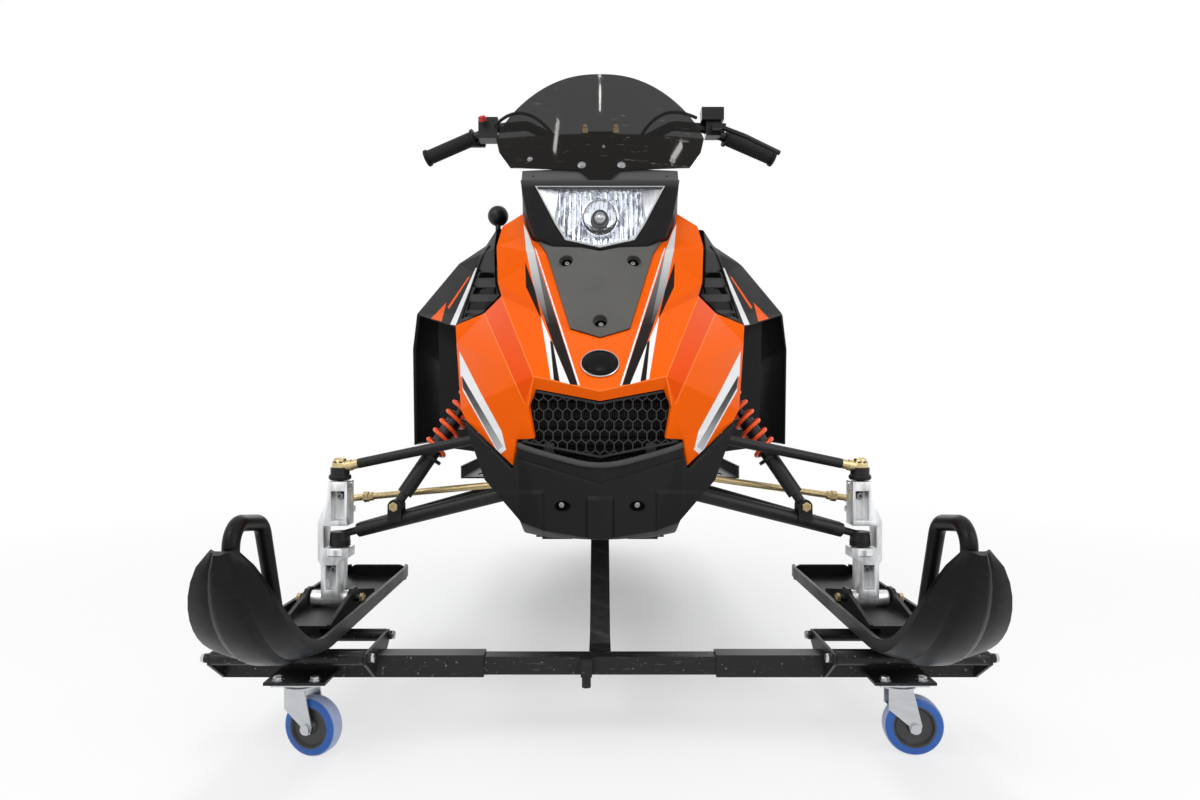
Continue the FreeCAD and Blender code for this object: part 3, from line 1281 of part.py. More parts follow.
def windshield():
    """A tinted sheet rolled about a leaning axis, with a domed upper edge."""
    dome = [(0, 1284), (62, 1277), (118, 1252), (166, 1212), (199, 1168), (212, 1140)]
    foot = size("shield_foot")
    lower = [(212, 1140), (203, 1105), (179, 1069), (110, 1062), (40, 1056), (16, foot), (-16, foot),
             (-40, 1056), (-110, 1062), (-179, 1069), (-203, 1105), (-212, 1140)]
    plane = -1400
    curve = Part.BSplineCurve()
    curve.interpolate([Vector(-x, plane, z) for x, z in reversed(dome[1:])] + [Vector(x, plane, z) for x, z in dome])
    edges = [curve.toShape()]
    edges += [Part.makeLine(Vector(a[0], plane, a[1]), Vector(b[0], plane, b[1])) for a, b in zip(lower, lower[1:])]
    prism_shape = Part.Face(Part.Wire(edges)).extrude(Vector(0, 1000, 0))
    sheet_shape = shield_drum(0).cut(shield_drum(size("shield_wall")))
    front = Part.makeBox(1200, 420, 900, Vector(-600, -1000, 700))
    return prism_shape.common(sheet_shape).common(front)


keep("windshield", feature("windshield_sheet", windshield()))

SIDE = [
    Vector(211, -795, 957), Vector(237, -769, 927), Vector(304, -704, 900), Vector(411, -626, 800),
    Vector(297, -812, 757), Vector(236, -826, 783), Vector(201, -838, 816), Vector(211, -824, 841),
    Vector(214, -815, 913), Vector(426, -600, 723), Vector(423, -600, 504), Vector(395, -380, 505),
    Vector(400, -380, 700), Vector(370, -400, 790), Vector(150.3, -420, 897), Vector(150.3, -760, 964)]
SIDE_FACES = [(0, 8, 1), (8, 7, 2), (8, 2, 1), (7, 5, 2), (7, 6, 5), (5, 4, 3), (5, 3, 2),
              (0, 1, 15), (1, 2, 15), (2, 3, 13), (2, 13, 14), (2, 14, 15),
              (3, 9, 12), (3, 12, 13), (9, 10, 11), (9, 11, 12)]
side_shape = skin(SIDE, SIDE_FACES, Vector(190, -600, 650), size("panel_keep"), whole=False)
LEVER_FOOT = Vector(-224, -664, 896)
LEVER_BALL = Vector(-227, -640, 1017)
lever_room = tube(LEVER_FOOT + (LEVER_FOOT - LEVER_BALL) * 0.1, LEVER_BALL, size("lever_diameter + 2 * fit_gap"))
keep("side_panel_left", feature("side_shell", side_shape))
keep("side_panel_right", feature("side_shell_right", mirrored(side_shape).cut(lever_room)))

tank_block = prism("tank_block", "YZ_Plane", [[
    ("tank_front + rest_gap", "engine_top + 18"), ("tank_front + rest_gap", "1058"),
    ("tank_front + 70", "1050"), ("-560", "985"), ("-430", "958"), ("seat_front", "945"),
    ("seat_front", "tunnel_top"), ("tunnel_front", "tunnel_top"), ("tunnel_front", "engine_top + 18")]],
    "2 * tank_half", symmetric=True)
post_way = feature("post_way", tube(steer_point(0, 0, -700), steer_point(0, 0, 100),
                                    size("post_diameter + 2 * post_room")))
keep("tank_cover", cut("tank", tank_block, post_way))

seat = prism("seat_pad", "YZ_Plane", [[
    ("seat_front + rest_gap", "tunnel_top"), ("seat_front + rest_gap", "940"), ("-150", "915"), ("150", "905"),
    ("420", "925"), ("600", "925"), ("seat_rear", "880"), ("seat_rear", "760"), ("600", "tunnel_top")]],
    "2 * seat_half", symmetric=True)
keep("seat", seat)

keep("tail_lamp", box("lamp_block", "2 * lamp_half", "lamp_depth", "56", ("-lamp_half", "seat_rear", "800")))

RAIL_OUT = size("tunnel_width / 2 + rear_tube / 2 + rest_gap")
REAR = size("rear_reach - rear_tube / 2")
bumper_half = [Vector(RAIL_OUT, 900, 540), Vector(RAIL_OUT, 1190, 600), Vector(130, REAR, 646)]
bumper_path = bumper_half + [Vector(-spot.x, spot.y, spot.z) for spot in reversed(bumper_half)]
keep("rear_bumper", feature("bumper_bar", sweep(bumper_path, size("rear_tube"), 60)))

flap = prism("flap_sheet", "YZ_Plane", [[
    ("tunnel_rear", "tunnel_top"), ("tunnel_rear", "tunnel_top - 120"), ("tunnel_rear + 30", "flap_foot"),
    ("tunnel_rear + 30 + flap_wall", "flap_foot"), ("tunnel_rear + flap_wall", "tunnel_top - 120"),
    ("tunnel_rear + flap_wall", "tunnel_top")]], "tunnel_width - 20", symmetric=True)
keep("snow_flap", flap)

# Track and rear suspension


def hull(circles):
    """A closed wire round circles of (y, z, radius), taken in order with each on its left."""
    count = len(circles)
    ends = []
    for index in range(count):
        y, z, radius = circles[index]
        other_y, other_z, other = circles[(index + 1) % count]
        span = math.hypot(other_y - y, other_z - z)
        uy, uz = (other_y - y) / span, (other_z - z) / span
        lean = (radius - other) / span
        side = math.sqrt(1 - lean * lean)
        ny, nz = uy * lean + uz * side, uz * lean - uy * side
        ends.append((Vector(0, y + radius * ny, z + radius * nz), Vector(0, other_y + other * ny, other_z + other * nz)))
    edges = []
    for index in range(count):
        y, z, radius = circles[index]
        arrive = ends[index - 1][1]
        leave = ends[index][0]
        centre = Vector(0, y, z)
        middle = ((arrive - centre) + (leave - centre)).normalize()
        edges.append(Part.Arc(arrive, centre + middle * radius, leave).toShape())
        edges.append(Part.makeLine(*ends[index]))
    return Part.Wire(edges)


def track_circles(extra):
    """Drive sprocket, rail bend and idler, grown by an extra radius."""
    sole = size("ride_height + lug_height + belt")
    return [
        (size("driver_y"), size("driver_z"), size("driver_radius") + extra),
        (size("run_front"), sole + size("run_bend"), size("run_bend") + extra),
        (size("idler_y"), sole + size("idler_radius"), size("idler_radius") + extra)]


def track():
    """The belt with its rows of lugs, one centre paddle or two side paddles in turn."""
    width = size("tunnel_width - 2 * (tunnel_wall + track_gap)")
    belt_face = Part.Face([hull(track_circles(size("belt"))), hull(track_circles(0))])
    belt = belt_face.extrude(Vector(width, 0, 0))
    belt.translate(Vector(-width / 2, 0, 0))
    count = int(size("lug_count"))
    line = hull(track_circles(size("belt")))
    steps = 8
    spots = line.discretize(Number=count * steps + 1)
    base, tip, height = size("lug_base") / 2, size("lug_tip") / 2, size("lug_height")
    lugs = []
    for row in range(count):
        spot = spots[row * steps + 2]
        ahead = (spots[row * steps + 3] - spots[row * steps + 1]).normalize()
        outward = Vector(0, ahead.z, -ahead.y)
        corners = [spot - ahead * base - outward * 3, spot + ahead * base - outward * 3,
                   spot + ahead * base, spot + ahead * tip + outward * height,
                   spot - ahead * tip + outward * height, spot - ahead * base]
        spans = [(-0.22, 0.22)] if row % 2 else [(-0.5, -0.24), (0.24, 0.5)]
        for low, high in spans:
            lug = Part.Face(wire(corners)).extrude(Vector(width * (high - low), 0, 0))
            lug.translate(Vector(width * low, 0, 0))
            lugs.append(lug)
    return belt.multiFuse(lugs).removeSplitter()


keep("track", feature("track_loop", track()))

SOLE = size("ride_height + lug_height + belt + rest_gap")
AXLE_Z = size("ride_height + lug_height + belt + idler_radius")


def slide_rails():
    """Two rails whose undersides run on the belt and curl up at the front."""
    bend = size("run_bend - rest_gap")
    front = size("run_front")
    high = SOLE + size("rail_height")
    back = size("idler_y")
    curl = [Vector(0, front - bend * math.sin(math.radians(angle)),
                   SOLE + bend * (1 - math.cos(math.radians(angle)))) for angle in (67, 45, 22, 0)]
    ring = curl + [Vector(0, back - 100, SOLE), Vector(0, back + 18, AXLE_Z - 22), Vector(0, back + 18, AXLE_Z + 20),
                   Vector(0, back - 26, AXLE_Z + 20), Vector(0, back - 110, high), Vector(0, front + 10, high)]
    rails = []
    for x in (size("rail_x"), -size("rail_x + rail_wall")):
        rail = Part.Face(wire(ring)).extrude(Vector(size("rail_wall"), 0, 0))
        rail.translate(Vector(x, 0, 0))
        axle_room = tube(Vector(x - 5, back, AXLE_Z), Vector(x + 30, back, AXLE_Z), size("idler_axle + 2 * fit_gap"))
        rails.append(rail.cut(axle_room))
    return Part.makeCompound(rails)


def across(y, z, diameter, reach):
    """A bar across the machine at a height."""
    return tube(Vector(-reach, y, z), Vector(reach, y, z), diameter)


def rear_suspension():
    """Swing arms, their cross tubes, tunnel brackets and the two dampers between the rails."""
    inside = size("tunnel_width / 2 - tunnel_wall - rest_gap")
    between = size("rail_x - rest_gap")
    rail_z = SOLE + 34
    pieces = []
    front_foot = size("run_front + 30")
    for top_y, top_z, foot_y, x in ((-200, 438, front_foot, 95), (400, 396, 620, 80)):
        pieces.append(across(top_y, top_z, 28, inside))
        pieces.append(across(foot_y, rail_z, 24, between))
        for sign in (-1, 1):
            pieces.append(tube(Vector(sign * x, top_y, top_z), Vector(sign * x, foot_y, rail_z), 24))
            bracket = Part.makeBox(6, 60, 60, Vector(sign * (inside - 3) - 3, top_y - 30, top_z - 14))
            pieces.append(bracket)
    shape = pieces[0].multiFuse(pieces[1:])
    dampers = []
    for top_y, top_z, foot_y in ((-200, 438, front_foot), (400, 396, 620)):
        start, end = Vector(0, top_y, top_z), Vector(0, foot_y, rail_z)
        axis = (end - start).normalize()
        dampers.append(tube(start + axis * 5, start + axis * 130, 44))
        dampers.append(tube(start, end, 16))
    return shape.multiFuse(dampers).removeSplitter()


def wheel(x, y, z, radius, width, axle):
    """A plain wheel with a dished face and a bore for its axle."""
    disc = tube(Vector(x - width / 2, y, z), Vector(x + width / 2, y, z), 2 * radius)
    for side in (-1, 1):
        face = Vector(x + side * width / 2, y, z)
        inward = Vector(-side * width * 0.25, 0, 0)
        dish = Part.makeCylinder(radius * 0.8, width * 0.25, face + inward, Vector(side, 0, 0))
        disc = disc.cut(dish.cut(Part.makeCylinder(radius * 0.3, width * 0.25, face + inward, Vector(side, 0, 0))))
    return disc.fuse(tube(Vector(x - width / 2, y, z), Vector(x + width / 2, y, z), 2 * axle))


def track_wheels():
    """Drive axle with its sprockets, idler axle with its wheels, and the bogie wheels."""
    gap = size("rest_gap")
    inside = size("tunnel_width / 2 - tunnel_wall - rest_gap")
    width = size("idler_width")
    driver = [across(size("driver_y"), size("driver_z"), size("driver_axle"), inside)]
    driver += [wheel(x, size("driver_y"), size("driver_z"), size("driver_radius") - gap, 30, size("driver_axle"))
               for x in (-90, 90)]
    idler = [across(size("idler_y"), AXLE_Z, size("idler_axle"), 172)]
    idler += [wheel(x, size("idler_y"), AXLE_Z, size("idler_radius") - gap, width, size("idler_axle"))
              for x in (-156, -60, 60, 156)]
    solids = [driver[0].multiFuse(driver[1:]), idler[0].multiFuse(idler[1:])]
    radius = size("bogie_radius")
    for y in (180, 520):
        for sign in (-1, 1):
            x = sign * size("rail_x + rail_wall + rest_gap + idler_width / 2")
            solids.append(wheel(x, y, SOLE + radius, radius, width, 10))
    return Part.makeCompound([solid.removeSplitter() for solid in solids])


keep("slide_rails", feature("rails", slide_rails()))
keep("rear_suspension", feature("swing_arms", rear_suspension()))
keep("track_wheels", feature("wheels", track_wheels()))

# Gear lever beside the nacelle


def shift_lever():
    stalk = tube(LEVER_FOOT, LEVER_BALL, size("lever_diameter"))
    return stalk.fuse(Part.makeSphere(size("lever_knob") / 2, LEVER_BALL)).removeSplitter()


keep("shift_lever", feature("lever", shift_lever()))

# Build and write

doc.recompute()
broken = [item.Label for item in doc.Objects if "Invalid" in item.State or "Error" in item.State]
if broken:
    raise RuntimeError("failed objects: " + ", ".join(broken))
os.makedirs("parts", exist_ok=True)
for item in nodes:
    if item.Shape.isNull() or not item.Shape.isValid() or item.Shape.Volume <= 0:
        raise RuntimeError("bad shape: " + item.Label)
    item.Shape.exportStep(os.path.join("parts", item.Label + ".step"))
    print(item.Label, len(item.Shape.Solids), round(item.Shape.Volume / 1000.0, 1), "cm3")
print("nodes", len(nodes))
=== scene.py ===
import json
import math
from contextlib import contextmanager

import bpy
from bpy.props import FloatProperty, FloatVectorProperty, PointerProperty
from mathutils import Matrix, Vector
from mathutils.bvhtree import BVHTree


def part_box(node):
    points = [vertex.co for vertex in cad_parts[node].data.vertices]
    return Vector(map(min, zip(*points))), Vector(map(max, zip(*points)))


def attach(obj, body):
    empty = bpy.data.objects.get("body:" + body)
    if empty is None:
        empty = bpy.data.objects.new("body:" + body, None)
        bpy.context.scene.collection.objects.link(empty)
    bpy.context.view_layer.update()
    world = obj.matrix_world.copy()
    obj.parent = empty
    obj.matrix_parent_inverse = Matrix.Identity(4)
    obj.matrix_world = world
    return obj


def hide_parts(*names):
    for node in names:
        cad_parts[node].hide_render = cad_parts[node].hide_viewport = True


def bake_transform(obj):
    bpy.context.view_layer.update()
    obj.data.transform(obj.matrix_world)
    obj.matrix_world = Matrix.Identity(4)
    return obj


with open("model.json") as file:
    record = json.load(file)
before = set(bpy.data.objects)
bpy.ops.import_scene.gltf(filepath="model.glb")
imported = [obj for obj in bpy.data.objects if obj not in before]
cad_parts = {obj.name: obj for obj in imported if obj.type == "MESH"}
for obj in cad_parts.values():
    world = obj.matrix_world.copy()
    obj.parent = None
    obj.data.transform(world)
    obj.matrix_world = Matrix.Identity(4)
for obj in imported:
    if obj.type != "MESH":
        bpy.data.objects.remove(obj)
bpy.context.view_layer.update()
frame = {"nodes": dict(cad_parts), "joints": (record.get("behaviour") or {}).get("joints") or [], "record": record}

bl_info = {
    "name": "Snowmobile looks",
    "version": (1, 0, 0),
    "blender": (4, 5, 0),
    "location": "View3D > Sidebar > Snowmobile",
    "description": "Dresses the packed snowmobile and the dolly it stands on",
    "category": "Object",
}

# Sizes of pieces are in millimetres, as in the CAD source; the modelling helpers turn them into metres.
# The decal sheet is what the eye below, in metres, sees: a thing one metre wide and one metre away is REACH
# units wide on the sheet, and SHEET is the sheet's middle.
EYE = Vector((0, -2.524, 0.607))
REACH = 845
SHEET = (600, 400)
# The width over which a decal's edge fades, on the sheet.
DECAL_EDGE = 0.35
# The side panels carry their stripes in front of this y, in metres.
PANEL_FRONT = -0.69
# The way that the hood's cover faces, and the way that the louvres' fins stand out.
COVER_OUT = Vector((0, -0.84, 0.54)).normalized()
FIN_OUT = Vector((0, -1, -0.05)).normalized()
UP, FRONT, BACK = (0, 0, 1), (0, -1, 0), (0, 1, 0)
SIDES = (("left", 1), ("right", -1))
CASTORS = ("left", "right", "rear")
# Where the kingpins stand on each side, and the height of the headlamp's middle, in millimetres.
KINGPIN_X, KINGPIN_Y = 502, -892
LAMP_Z = 966
# Corners closer than this are one, in metres; faces bent by less than this are flat, in degrees.
SAME_SPOT, FLAT = 1e-5, 0.5
# The lamps of the windshield's glints: their distance in metres and their power in watts a square metre.
GLINT_AWAY = 2.6
GLINT_POWER = 25 * math.pi


def colour_property(name, description, default):
    return FloatVectorProperty(name=name, description=description, subtype="COLOR", size=4,
                               min=0, max=1, default=default)


def length_property(name, description, default, low, high):
    return FloatProperty(name=name, description=description, default=default, min=low, max=high, unit="LENGTH")


class SnowmobileColours(bpy.types.PropertyGroup):
    """Colours that a user would change."""

    shell: colour_property("Shell", "Glossy hood", (0.95, 0.115, 0.0005, 1))
    moulding: colour_property("Mouldings", "Grained black plastic", (0.0065, 0.0065, 0.0067, 1))
    spring: colour_property("Springs", "Coil springs", (1.0, 0.1, 0.01, 1))
    castor: colour_property("Castor tyres", "Tread of the castor wheels", (0.008, 0.11, 0.46, 1))
    gilt: colour_property("Gilt zinc", "Rod ends and tie rods", (0.66, 0.51, 0.24, 1))
    floor: colour_property("Floor", "Studio floor", (0.93, 0.93, 0.93, 1))


class SnowmobileSizes(bpy.types.PropertyGroup):
    """Sizes that a user would change."""

    edge: length_property("Moulding edge", "Rounding of the mouldings' edges", 0.003, 0.0005, 0.02)
    emblem: length_property("Emblem", "Radius of the plain disc on the hood", 0.034, 0.01, 0.06)
    seam: length_property("Seat seam", "Depth of the seams sewn into the seat", 0.006, 0, 0.02)


def sizes():
    """The sizes that the user sets."""
    return bpy.context.scene.snowmobile_sizes


def assigned(target, **settings):
    """Set some attributes of a target and hand it back."""
    for name, value in settings.items():
        setattr(target, name, value)
    return target


def entry(items, name, key="name"):
    """The entry of a list in the frame that carries a name."""
    return next(item for item in items if item[key] == name)


# Shader arithmetic


def rgb(colour):
    """Three numbers from three, from one for a grey, or from the name of one of the user's colours."""
    if isinstance(colour, str):
        return tuple(getattr(bpy.context.scene.snowmobile_colours, colour))[:3]
    return (colour,) * 3 if isinstance(colour, (int, float)) else colour


def dim(colour, share):
    """A colour times a share."""
    return tuple(part * share for part in rgb(colour))


def pale(colour, share):
    """A colour with a share of white."""
    return tuple(part + (1 - part) * share for part in rgb(colour))


def operation(name, swapped=False):
    """A method of Channel that adds one Math node."""
    def method(self, other=0.0):
        return self.math(name, other, self) if swapped else self.math(name, self, other)
    return method


class Channel:
    """A number in a material in ordinary arithmetic: each operator adds its Math node."""

    def __init__(self, graph, socket):
        self.graph = graph
        self.socket = socket

    def math(self, name, first, second=0.0, third=0.0):
        return self.graph.node("Math", {0: first, 1: second, 2: third}, operation=name)

    __add__ = __radd__ = operation("ADD")
    __sub__ = operation("SUBTRACT")
    __rsub__ = operation("SUBTRACT", swapped=True)
    __mul__ = __rmul__ = operation("MULTIPLY")
    __truediv__ = operation("DIVIDE")
    __lt__ = operation("LESS_THAN")
    __gt__ = operation("GREATER_THAN")
    __abs__ = operation("ABSOLUTE")
    least = operation("MINIMUM")
    most = operation("MAXIMUM")
    sine = operation("SINE")
    fraction = operation("FRACT")

    def clamped(self):
        return self.graph.node("Clamp", {0: self})


class Graph:
    """The nodes of one material or world."""

    def __init__(self, owner):
        owner.use_nodes = True
        self.tree = owner.node_tree
        self.tree.nodes.clear()

    def node(self, kind, inputs=None, output=0, **settings):
        """Add a node, set or link its inputs and hand out one of its outputs."""
        made = assigned(self.tree.nodes.new("ShaderNode" + kind), **settings)
        for name, value in (inputs or {}).items():
            self.feed(made.inputs[name], value)
        return Channel(self, made.outputs[output]) if made.outputs else made

    def feed(self, socket, value):
        if isinstance(value, Channel):
            self.tree.links.new(value.socket, socket)
        else:
            socket.default_value = (*rgb(value), 1) if socket.type == "RGBA" else value

    def rays(self, *kinds):
        """Masks of the rays of some kinds."""
        return [self.node("LightPath", output="Is %s Ray" % kind) for kind in kinds]


class Finish(Graph):
    """One material round a single Principled shader."""

    def __init__(self, name):
        self.material = bpy.data.materials.new(name)
        super().__init__(self.material)
        self.output = self.node("OutputMaterial")
        self.shader = self.node("BsdfPrincipled")
        self.feed(self.output.inputs[0], self.shader)

    def fix(self, **fixed):
        """Set the shader's inputs that are the same all over."""
        for key, value in fixed.items():
            self.set(key.replace("_", " ").title().replace("Ior", "IOR"), value)

    def set(self, name, value):
        self.feed(self.shader.socket.node.inputs[name], value)

    def place(self):
        return self.node("TexCoord", output="Object")

    def axes(self):
        outputs = self.node("SeparateXYZ", {0: self.place()}).socket.node.outputs
        return [Channel(self, socket) for socket in outputs]

    def noise(self, scale, detail=2.0, roughness=0.5, stretch=None, lean=0):
        """Noise, also squeezed by a scale on each axis and leant about y."""
        vector = self.place()
        if stretch:
            vector = self.node("Mapping", {"Vector": vector, "Scale": stretch, "Rotation": (0, lean, 0)})
        return self.node("TexNoise", {"Vector": vector, "Scale": scale, "Detail": detail, "Roughness": roughness})

    def cells(self, scale):
        return self.node("TexVoronoi", {"Vector": self.place(), "Scale": scale})

    def grain(self):
        """The pebbled skin of a moulding."""
        return self.cells(900) + self.noise(260, 3) * 0.6

    def level(self, value, low, high, start=0.0, end=1.0):
        """A number that runs from start to end as value runs from low to high."""
        return self.node("MapRange", {"Value": value, "From Min": low, "From Max": high,
                                      "To Min": start, "To Max": end})

    def blend(self, mask, under, over):
        return self.node("Mix", {0: mask, 6: under, 7: over}, output=2, data_type="RGBA")

    def colour(self, mask, under, over):
        self.set("Base Color", self.blend(mask, under, over))

    def rough(self, value, start, end, low=0.3, high=0.7):
        self.set("Roughness", self.level(value, low, high, start, end))

    def bump(self, height, distance):
        self.set("Normal", self.node("Bump", {"Strength": 1.0, "Distance": distance, "Height": height}))

    def sheet(self):
        """Decal sheet coordinates: how far out from the centre line, and down from the sheet's middle."""
        x, y, z = self.axes()
        depth = y - EYE.y
        return abs(x) / depth * REACH, (EYE.z - z) / depth * REACH

    def patch(self, corners, across, down):
        """A mask over a convex patch, by the sheet's u and v of its corners on the left half."""
        spots = [(SHEET[0] - u, v - SHEET[1]) for u, v in zip(corners[::2], corners[1::2])]
        if sum(a[0] * b[1] - b[0] * a[1] for a, b in zip(spots, spots[1:] + spots[:1])) < 0:
            spots.reverse()
        inner = None
        for (ax, ay), (bx, by) in zip(spots, spots[1:] + spots[:1]):
            length = math.hypot(bx - ax, by - ay)
            nx, ny = (ay - by) / length, (bx - ax) / length
            edge = across.math("MULTIPLY_ADD", across, nx,
                               down.math("MULTIPLY_ADD", down, ny, -(nx * ax + ny * ay)))
            inner = edge if inner is None else inner.least(edge)
        return (inner / DECAL_EDGE + 0.5).clamped()

    def decals(self, paint, patches, within=None):
        """Lay patches over a paint, each a colour and the corners that patch() takes, within a mask."""
        across, down = self.sheet()
        for colour, *corners in patches:
            mask = self.patch(corners, across, down)
            paint = self.blend(mask if within is None else mask * within, paint, colour)
        self.set("Base Color", paint)


# Finishes: each fills in a material


def moulded(finish, colour, roughness=0.5, grain=0.00006, sheen=0.15, painted_top_light_height=None):
    """Grained plastic: fine pebbled skin, slight cloudiness and dusty patches, and a painted highlight that makes it
    paler above a given height.
    """
    finish.fix(specular_ior_level=sheen)
    cloud = finish.noise(9, 3)
    dust = finish.level(finish.noise(38, 4, 0.65), 0.5, 0.75)
    paint = finish.blend(cloud, dim(colour, 0.7), pale(colour, 0.004))
    paint = finish.blend(dust * 0.25, paint, pale(colour, 0.02))
    # Painted highlight: paler above the given height, as if lit from above.
    if painted_top_light_height:
        top = finish.level(finish.axes()[2], painted_top_light_height - 0.012, painted_top_light_height + 0.012)
        paint = finish.blend(top, paint, pale(colour, 0.08))
    finish.set("Base Color", paint)
    finish.rough(cloud, roughness - 0.06, roughness + 0.08)
    finish.bump(finish.grain(), grain * 2)


def gloss_shell(finish):
    """Glossy hood colour with painted stripes, painted highlights along the creases and painted shade on one band, laid
    out on the decal sheet.
    """
    finish.fix(coat_weight=0.05, coat_roughness=0.05, roughness=0.26, specular_ior_level=0.12,
               specular_tint=(1, 0.55, 0.25))
    down = finish.sheet()[1]
    black, white = (0.006, 0.006, 0.007), 0.88
    fade = finish.level(down, -165, -75)
    dark = finish.blend(fade, (0.3, 0.3, 0.31), black)
    metal = finish.blend(fade, white, black)
    rise = finish.level(down, -25, 52)
    cheek = finish.blend(rise * rise, black, (0.62, 0.62, 0.64))
    # Painted highlight: a paler orange for thin lines along the hood's creases.
    crease = finish.blend(0.6, "shell", (1, 0.3, 0.07))
    finish.decals(finish.blend(finish.noise(3, 1) * 0.5, "shell", (0.95, 0.14, 0.0005)), (
        # Painted shade: a darker red band between the side ridge and the crease.
        ((0.88, 0.08, 0.0002), 484.1, 312.8, 501, 296, 533.3, 376.2, 524.5, 404),
        # Painted highlights along the creases.
        (crease, 483.6, 313, 484.6, 312.6, 525, 403.8, 524, 404.2),
        (crease, 500.6, 296, 501.6, 295.8, 533.8, 376.1, 532.8, 376.4),
        (crease, 533.3, 375.8, 600, 390.7, 600, 391.8, 533.3, 376.9),
        (crease, 532.8, 376.2, 533.8, 376.2, 528.6, 405.8, 527.6, 405.8),
        (metal, 523.6, 224, 527.5, 232, 535.5, 254, 553, 343, 535, 292, 526, 250),
        (black, 524.6, 245, 525.9, 286.8, 551, 340.5, 553.5, 343, 535, 290),
        (white, 540.6, 316, 551, 340.5, 554, 380, 550.9, 379.2),
        (dark, 550, 340, 553.3, 343.3, 559.7, 381.4, 553.8, 380),
        (white, 553, 343.5, 559.7, 381.4, 570.4, 384.4),
        (dark, 534.5, 252, 578, 385.1, 570, 384.4, 553, 343.3),
        (white, 534.4, 247.5, 536.2, 249.5, 580.1, 385.6, 577.9, 385.1),
        (white, 459.3, 351.2, 479.5, 390.8, 485.4, 412.8, 460.5, 376.1),
        (white, 479.5, 390.8, 501.5, 431.1, 505.9, 449.4, 485.4, 412.8),
        (white, 461.5, 375, 485.4, 405, 506.3, 449.4, 499.3, 455.2, 463, 391),
        (cheek, 461.5, 375, 503.2, 446.6, 497.6, 450.2, 463, 388)))
    finish.bump(finish.noise(30, 1) + finish.noise(500, 2) * 0.04, 0.0004)


def striped_moulding(finish):
    """The side panels: grained black with a white stripe, a thin line and a small triangle, painted light on the louvre
    area and painted shade bands under the louvre fins.
    """
    finish.fix(specular_ior_level=0.15)
    cloud = finish.noise(9, 3)
    shade, white = (0.0015, 0.0015, 0.0016), 0.85
    finish.decals(finish.blend(cloud, dim("moulding", 0.8), pale("moulding", 0.006)), (
        # Painted light: the louvre area between the fins is paler, as if lit.
        (pale("moulding", 0.03), 486, 233, 499, 233, 501, 322, 463, 320),
        # Painted shade: near-black bands under the louvre fins.
        (shade, 480.5, 272, 497, 272, 497, 278, 478.5, 278),
        (shade, 475.8, 287, 499, 287, 499.5, 294.5, 473, 294.5),
        (shade, 469.6, 301.5, 501, 301.5, 501.5, 310, 467, 310),
        (shade, 466.5, 313.5, 487, 313.5, 487, 317, 465, 317),
        (white, 475.6, 268, 478, 268, 455.6, 325.4, 450.2, 324.4),
        ("shell", 468.3, 277, 470, 276.5, 449, 309, 447.6, 307),
        ("shell", 446.5, 302.4, 441.6, 321.4, 430.9, 318.6)), finish.axes()[1] < PANEL_FRONT)
    finish.rough(cloud, 0.36, 0.5)
    finish.bump(finish.grain(), 0.0001)


def ribbed_belly(finish):
    """The belly pan's moulding with its upright grooves, and painted shade along their edges and along the bent crease.
    """
    finish.fix(specular_ior_level=0.15)
    across, down = finish.sheet()
    cloud = finish.noise(9, 3)
    lower = finish.level(down, 96, 100)
    inside = finish.level(down, 90, 94)
    rib = finish.level(across, 12, 14.5, 1, 0) * lower
    cheek = finish.level(across, 54, 58, 0, 1) * inside
    slope = down + across * 0.31
    # Painted shade: the crease mask also darkens the moulding along the bend, and under is painted shade that is
    # strongest at the crease, fades out below it and stays faint above it.
    crease = finish.level(abs(slope - 84), 0.5, 2.2, 1, 0)
    under = finish.level(slope, 84, 96, 0.5, 0.0) * (crease + 0.4).clamped()
    # Painted shade: dark lines along the steps at the edges of the rib and the cheeks.
    edges = finish.level(abs(across - 13.6), 0.4, 1.6, 0.7, 0) * lower
    edges = edges.most(finish.level(abs(across - 56.5), 0.4, 1.8, 0.7, 0) * inside)
    finish.colour(edges.most(crease * 0.2).most(under * 0.6),
                  finish.blend(cloud, dim("moulding", 0.8), pale("moulding", 0.006)), dim("moulding", 0.2))
    finish.rough(cloud, 0.42, 0.55)
    finish.bump(finish.cells(900) * 0.012 + finish.noise(260, 3) * 0.008 + rib * 0.8 + cheek * 0.6 - crease * 0.2,
                0.004)


def powder(finish, colour, roughness=0.42):
    """Powder-coated steel with a faint orange peel and rubbed patches."""
    finish.fix(specular_ior_level=0.3)
    rub = finish.level(finish.noise(55, 5, 0.7), 0.56, 0.72)
    finish.colour(rub * 0.35, colour, pale(colour, 0.05))
    finish.rough(rub, roughness, roughness + 0.18, 0, 1)
    finish.bump(finish.noise(420, 2), 0.0001)


def scuffed(finish, colour):
    """Black workshop paint with pale drag marks, chips and dust."""
    finish.fix(specular_ior_level=0.25)
    drag = finish.noise(26, 6, 0.7, (1, 4, 9), 0.35)
    fine = finish.noise(70, 5, 0.75, (0.6, 3, 7), -0.6)
    marks = finish.level(drag, 0.6, 0.72).most(finish.level(fine, 0.64, 0.72) * 0.8)
    chips = finish.level(finish.noise(160, 2), 0.68, 0.72)
    base = finish.blend(finish.noise(12, 3) * 0.4, colour, pale(colour, 0.02))
    finish.colour(chips * 0.4, finish.blend(marks * 0.3, base, (0.3, 0.3, 0.29)), 0.4)
    finish.rough(marks, 0.4, 0.7, 0, 1)
    finish.bump(finish.noise(300, 3) * 0.4 - chips * 0.6 - marks * 0.3, 0.00025)


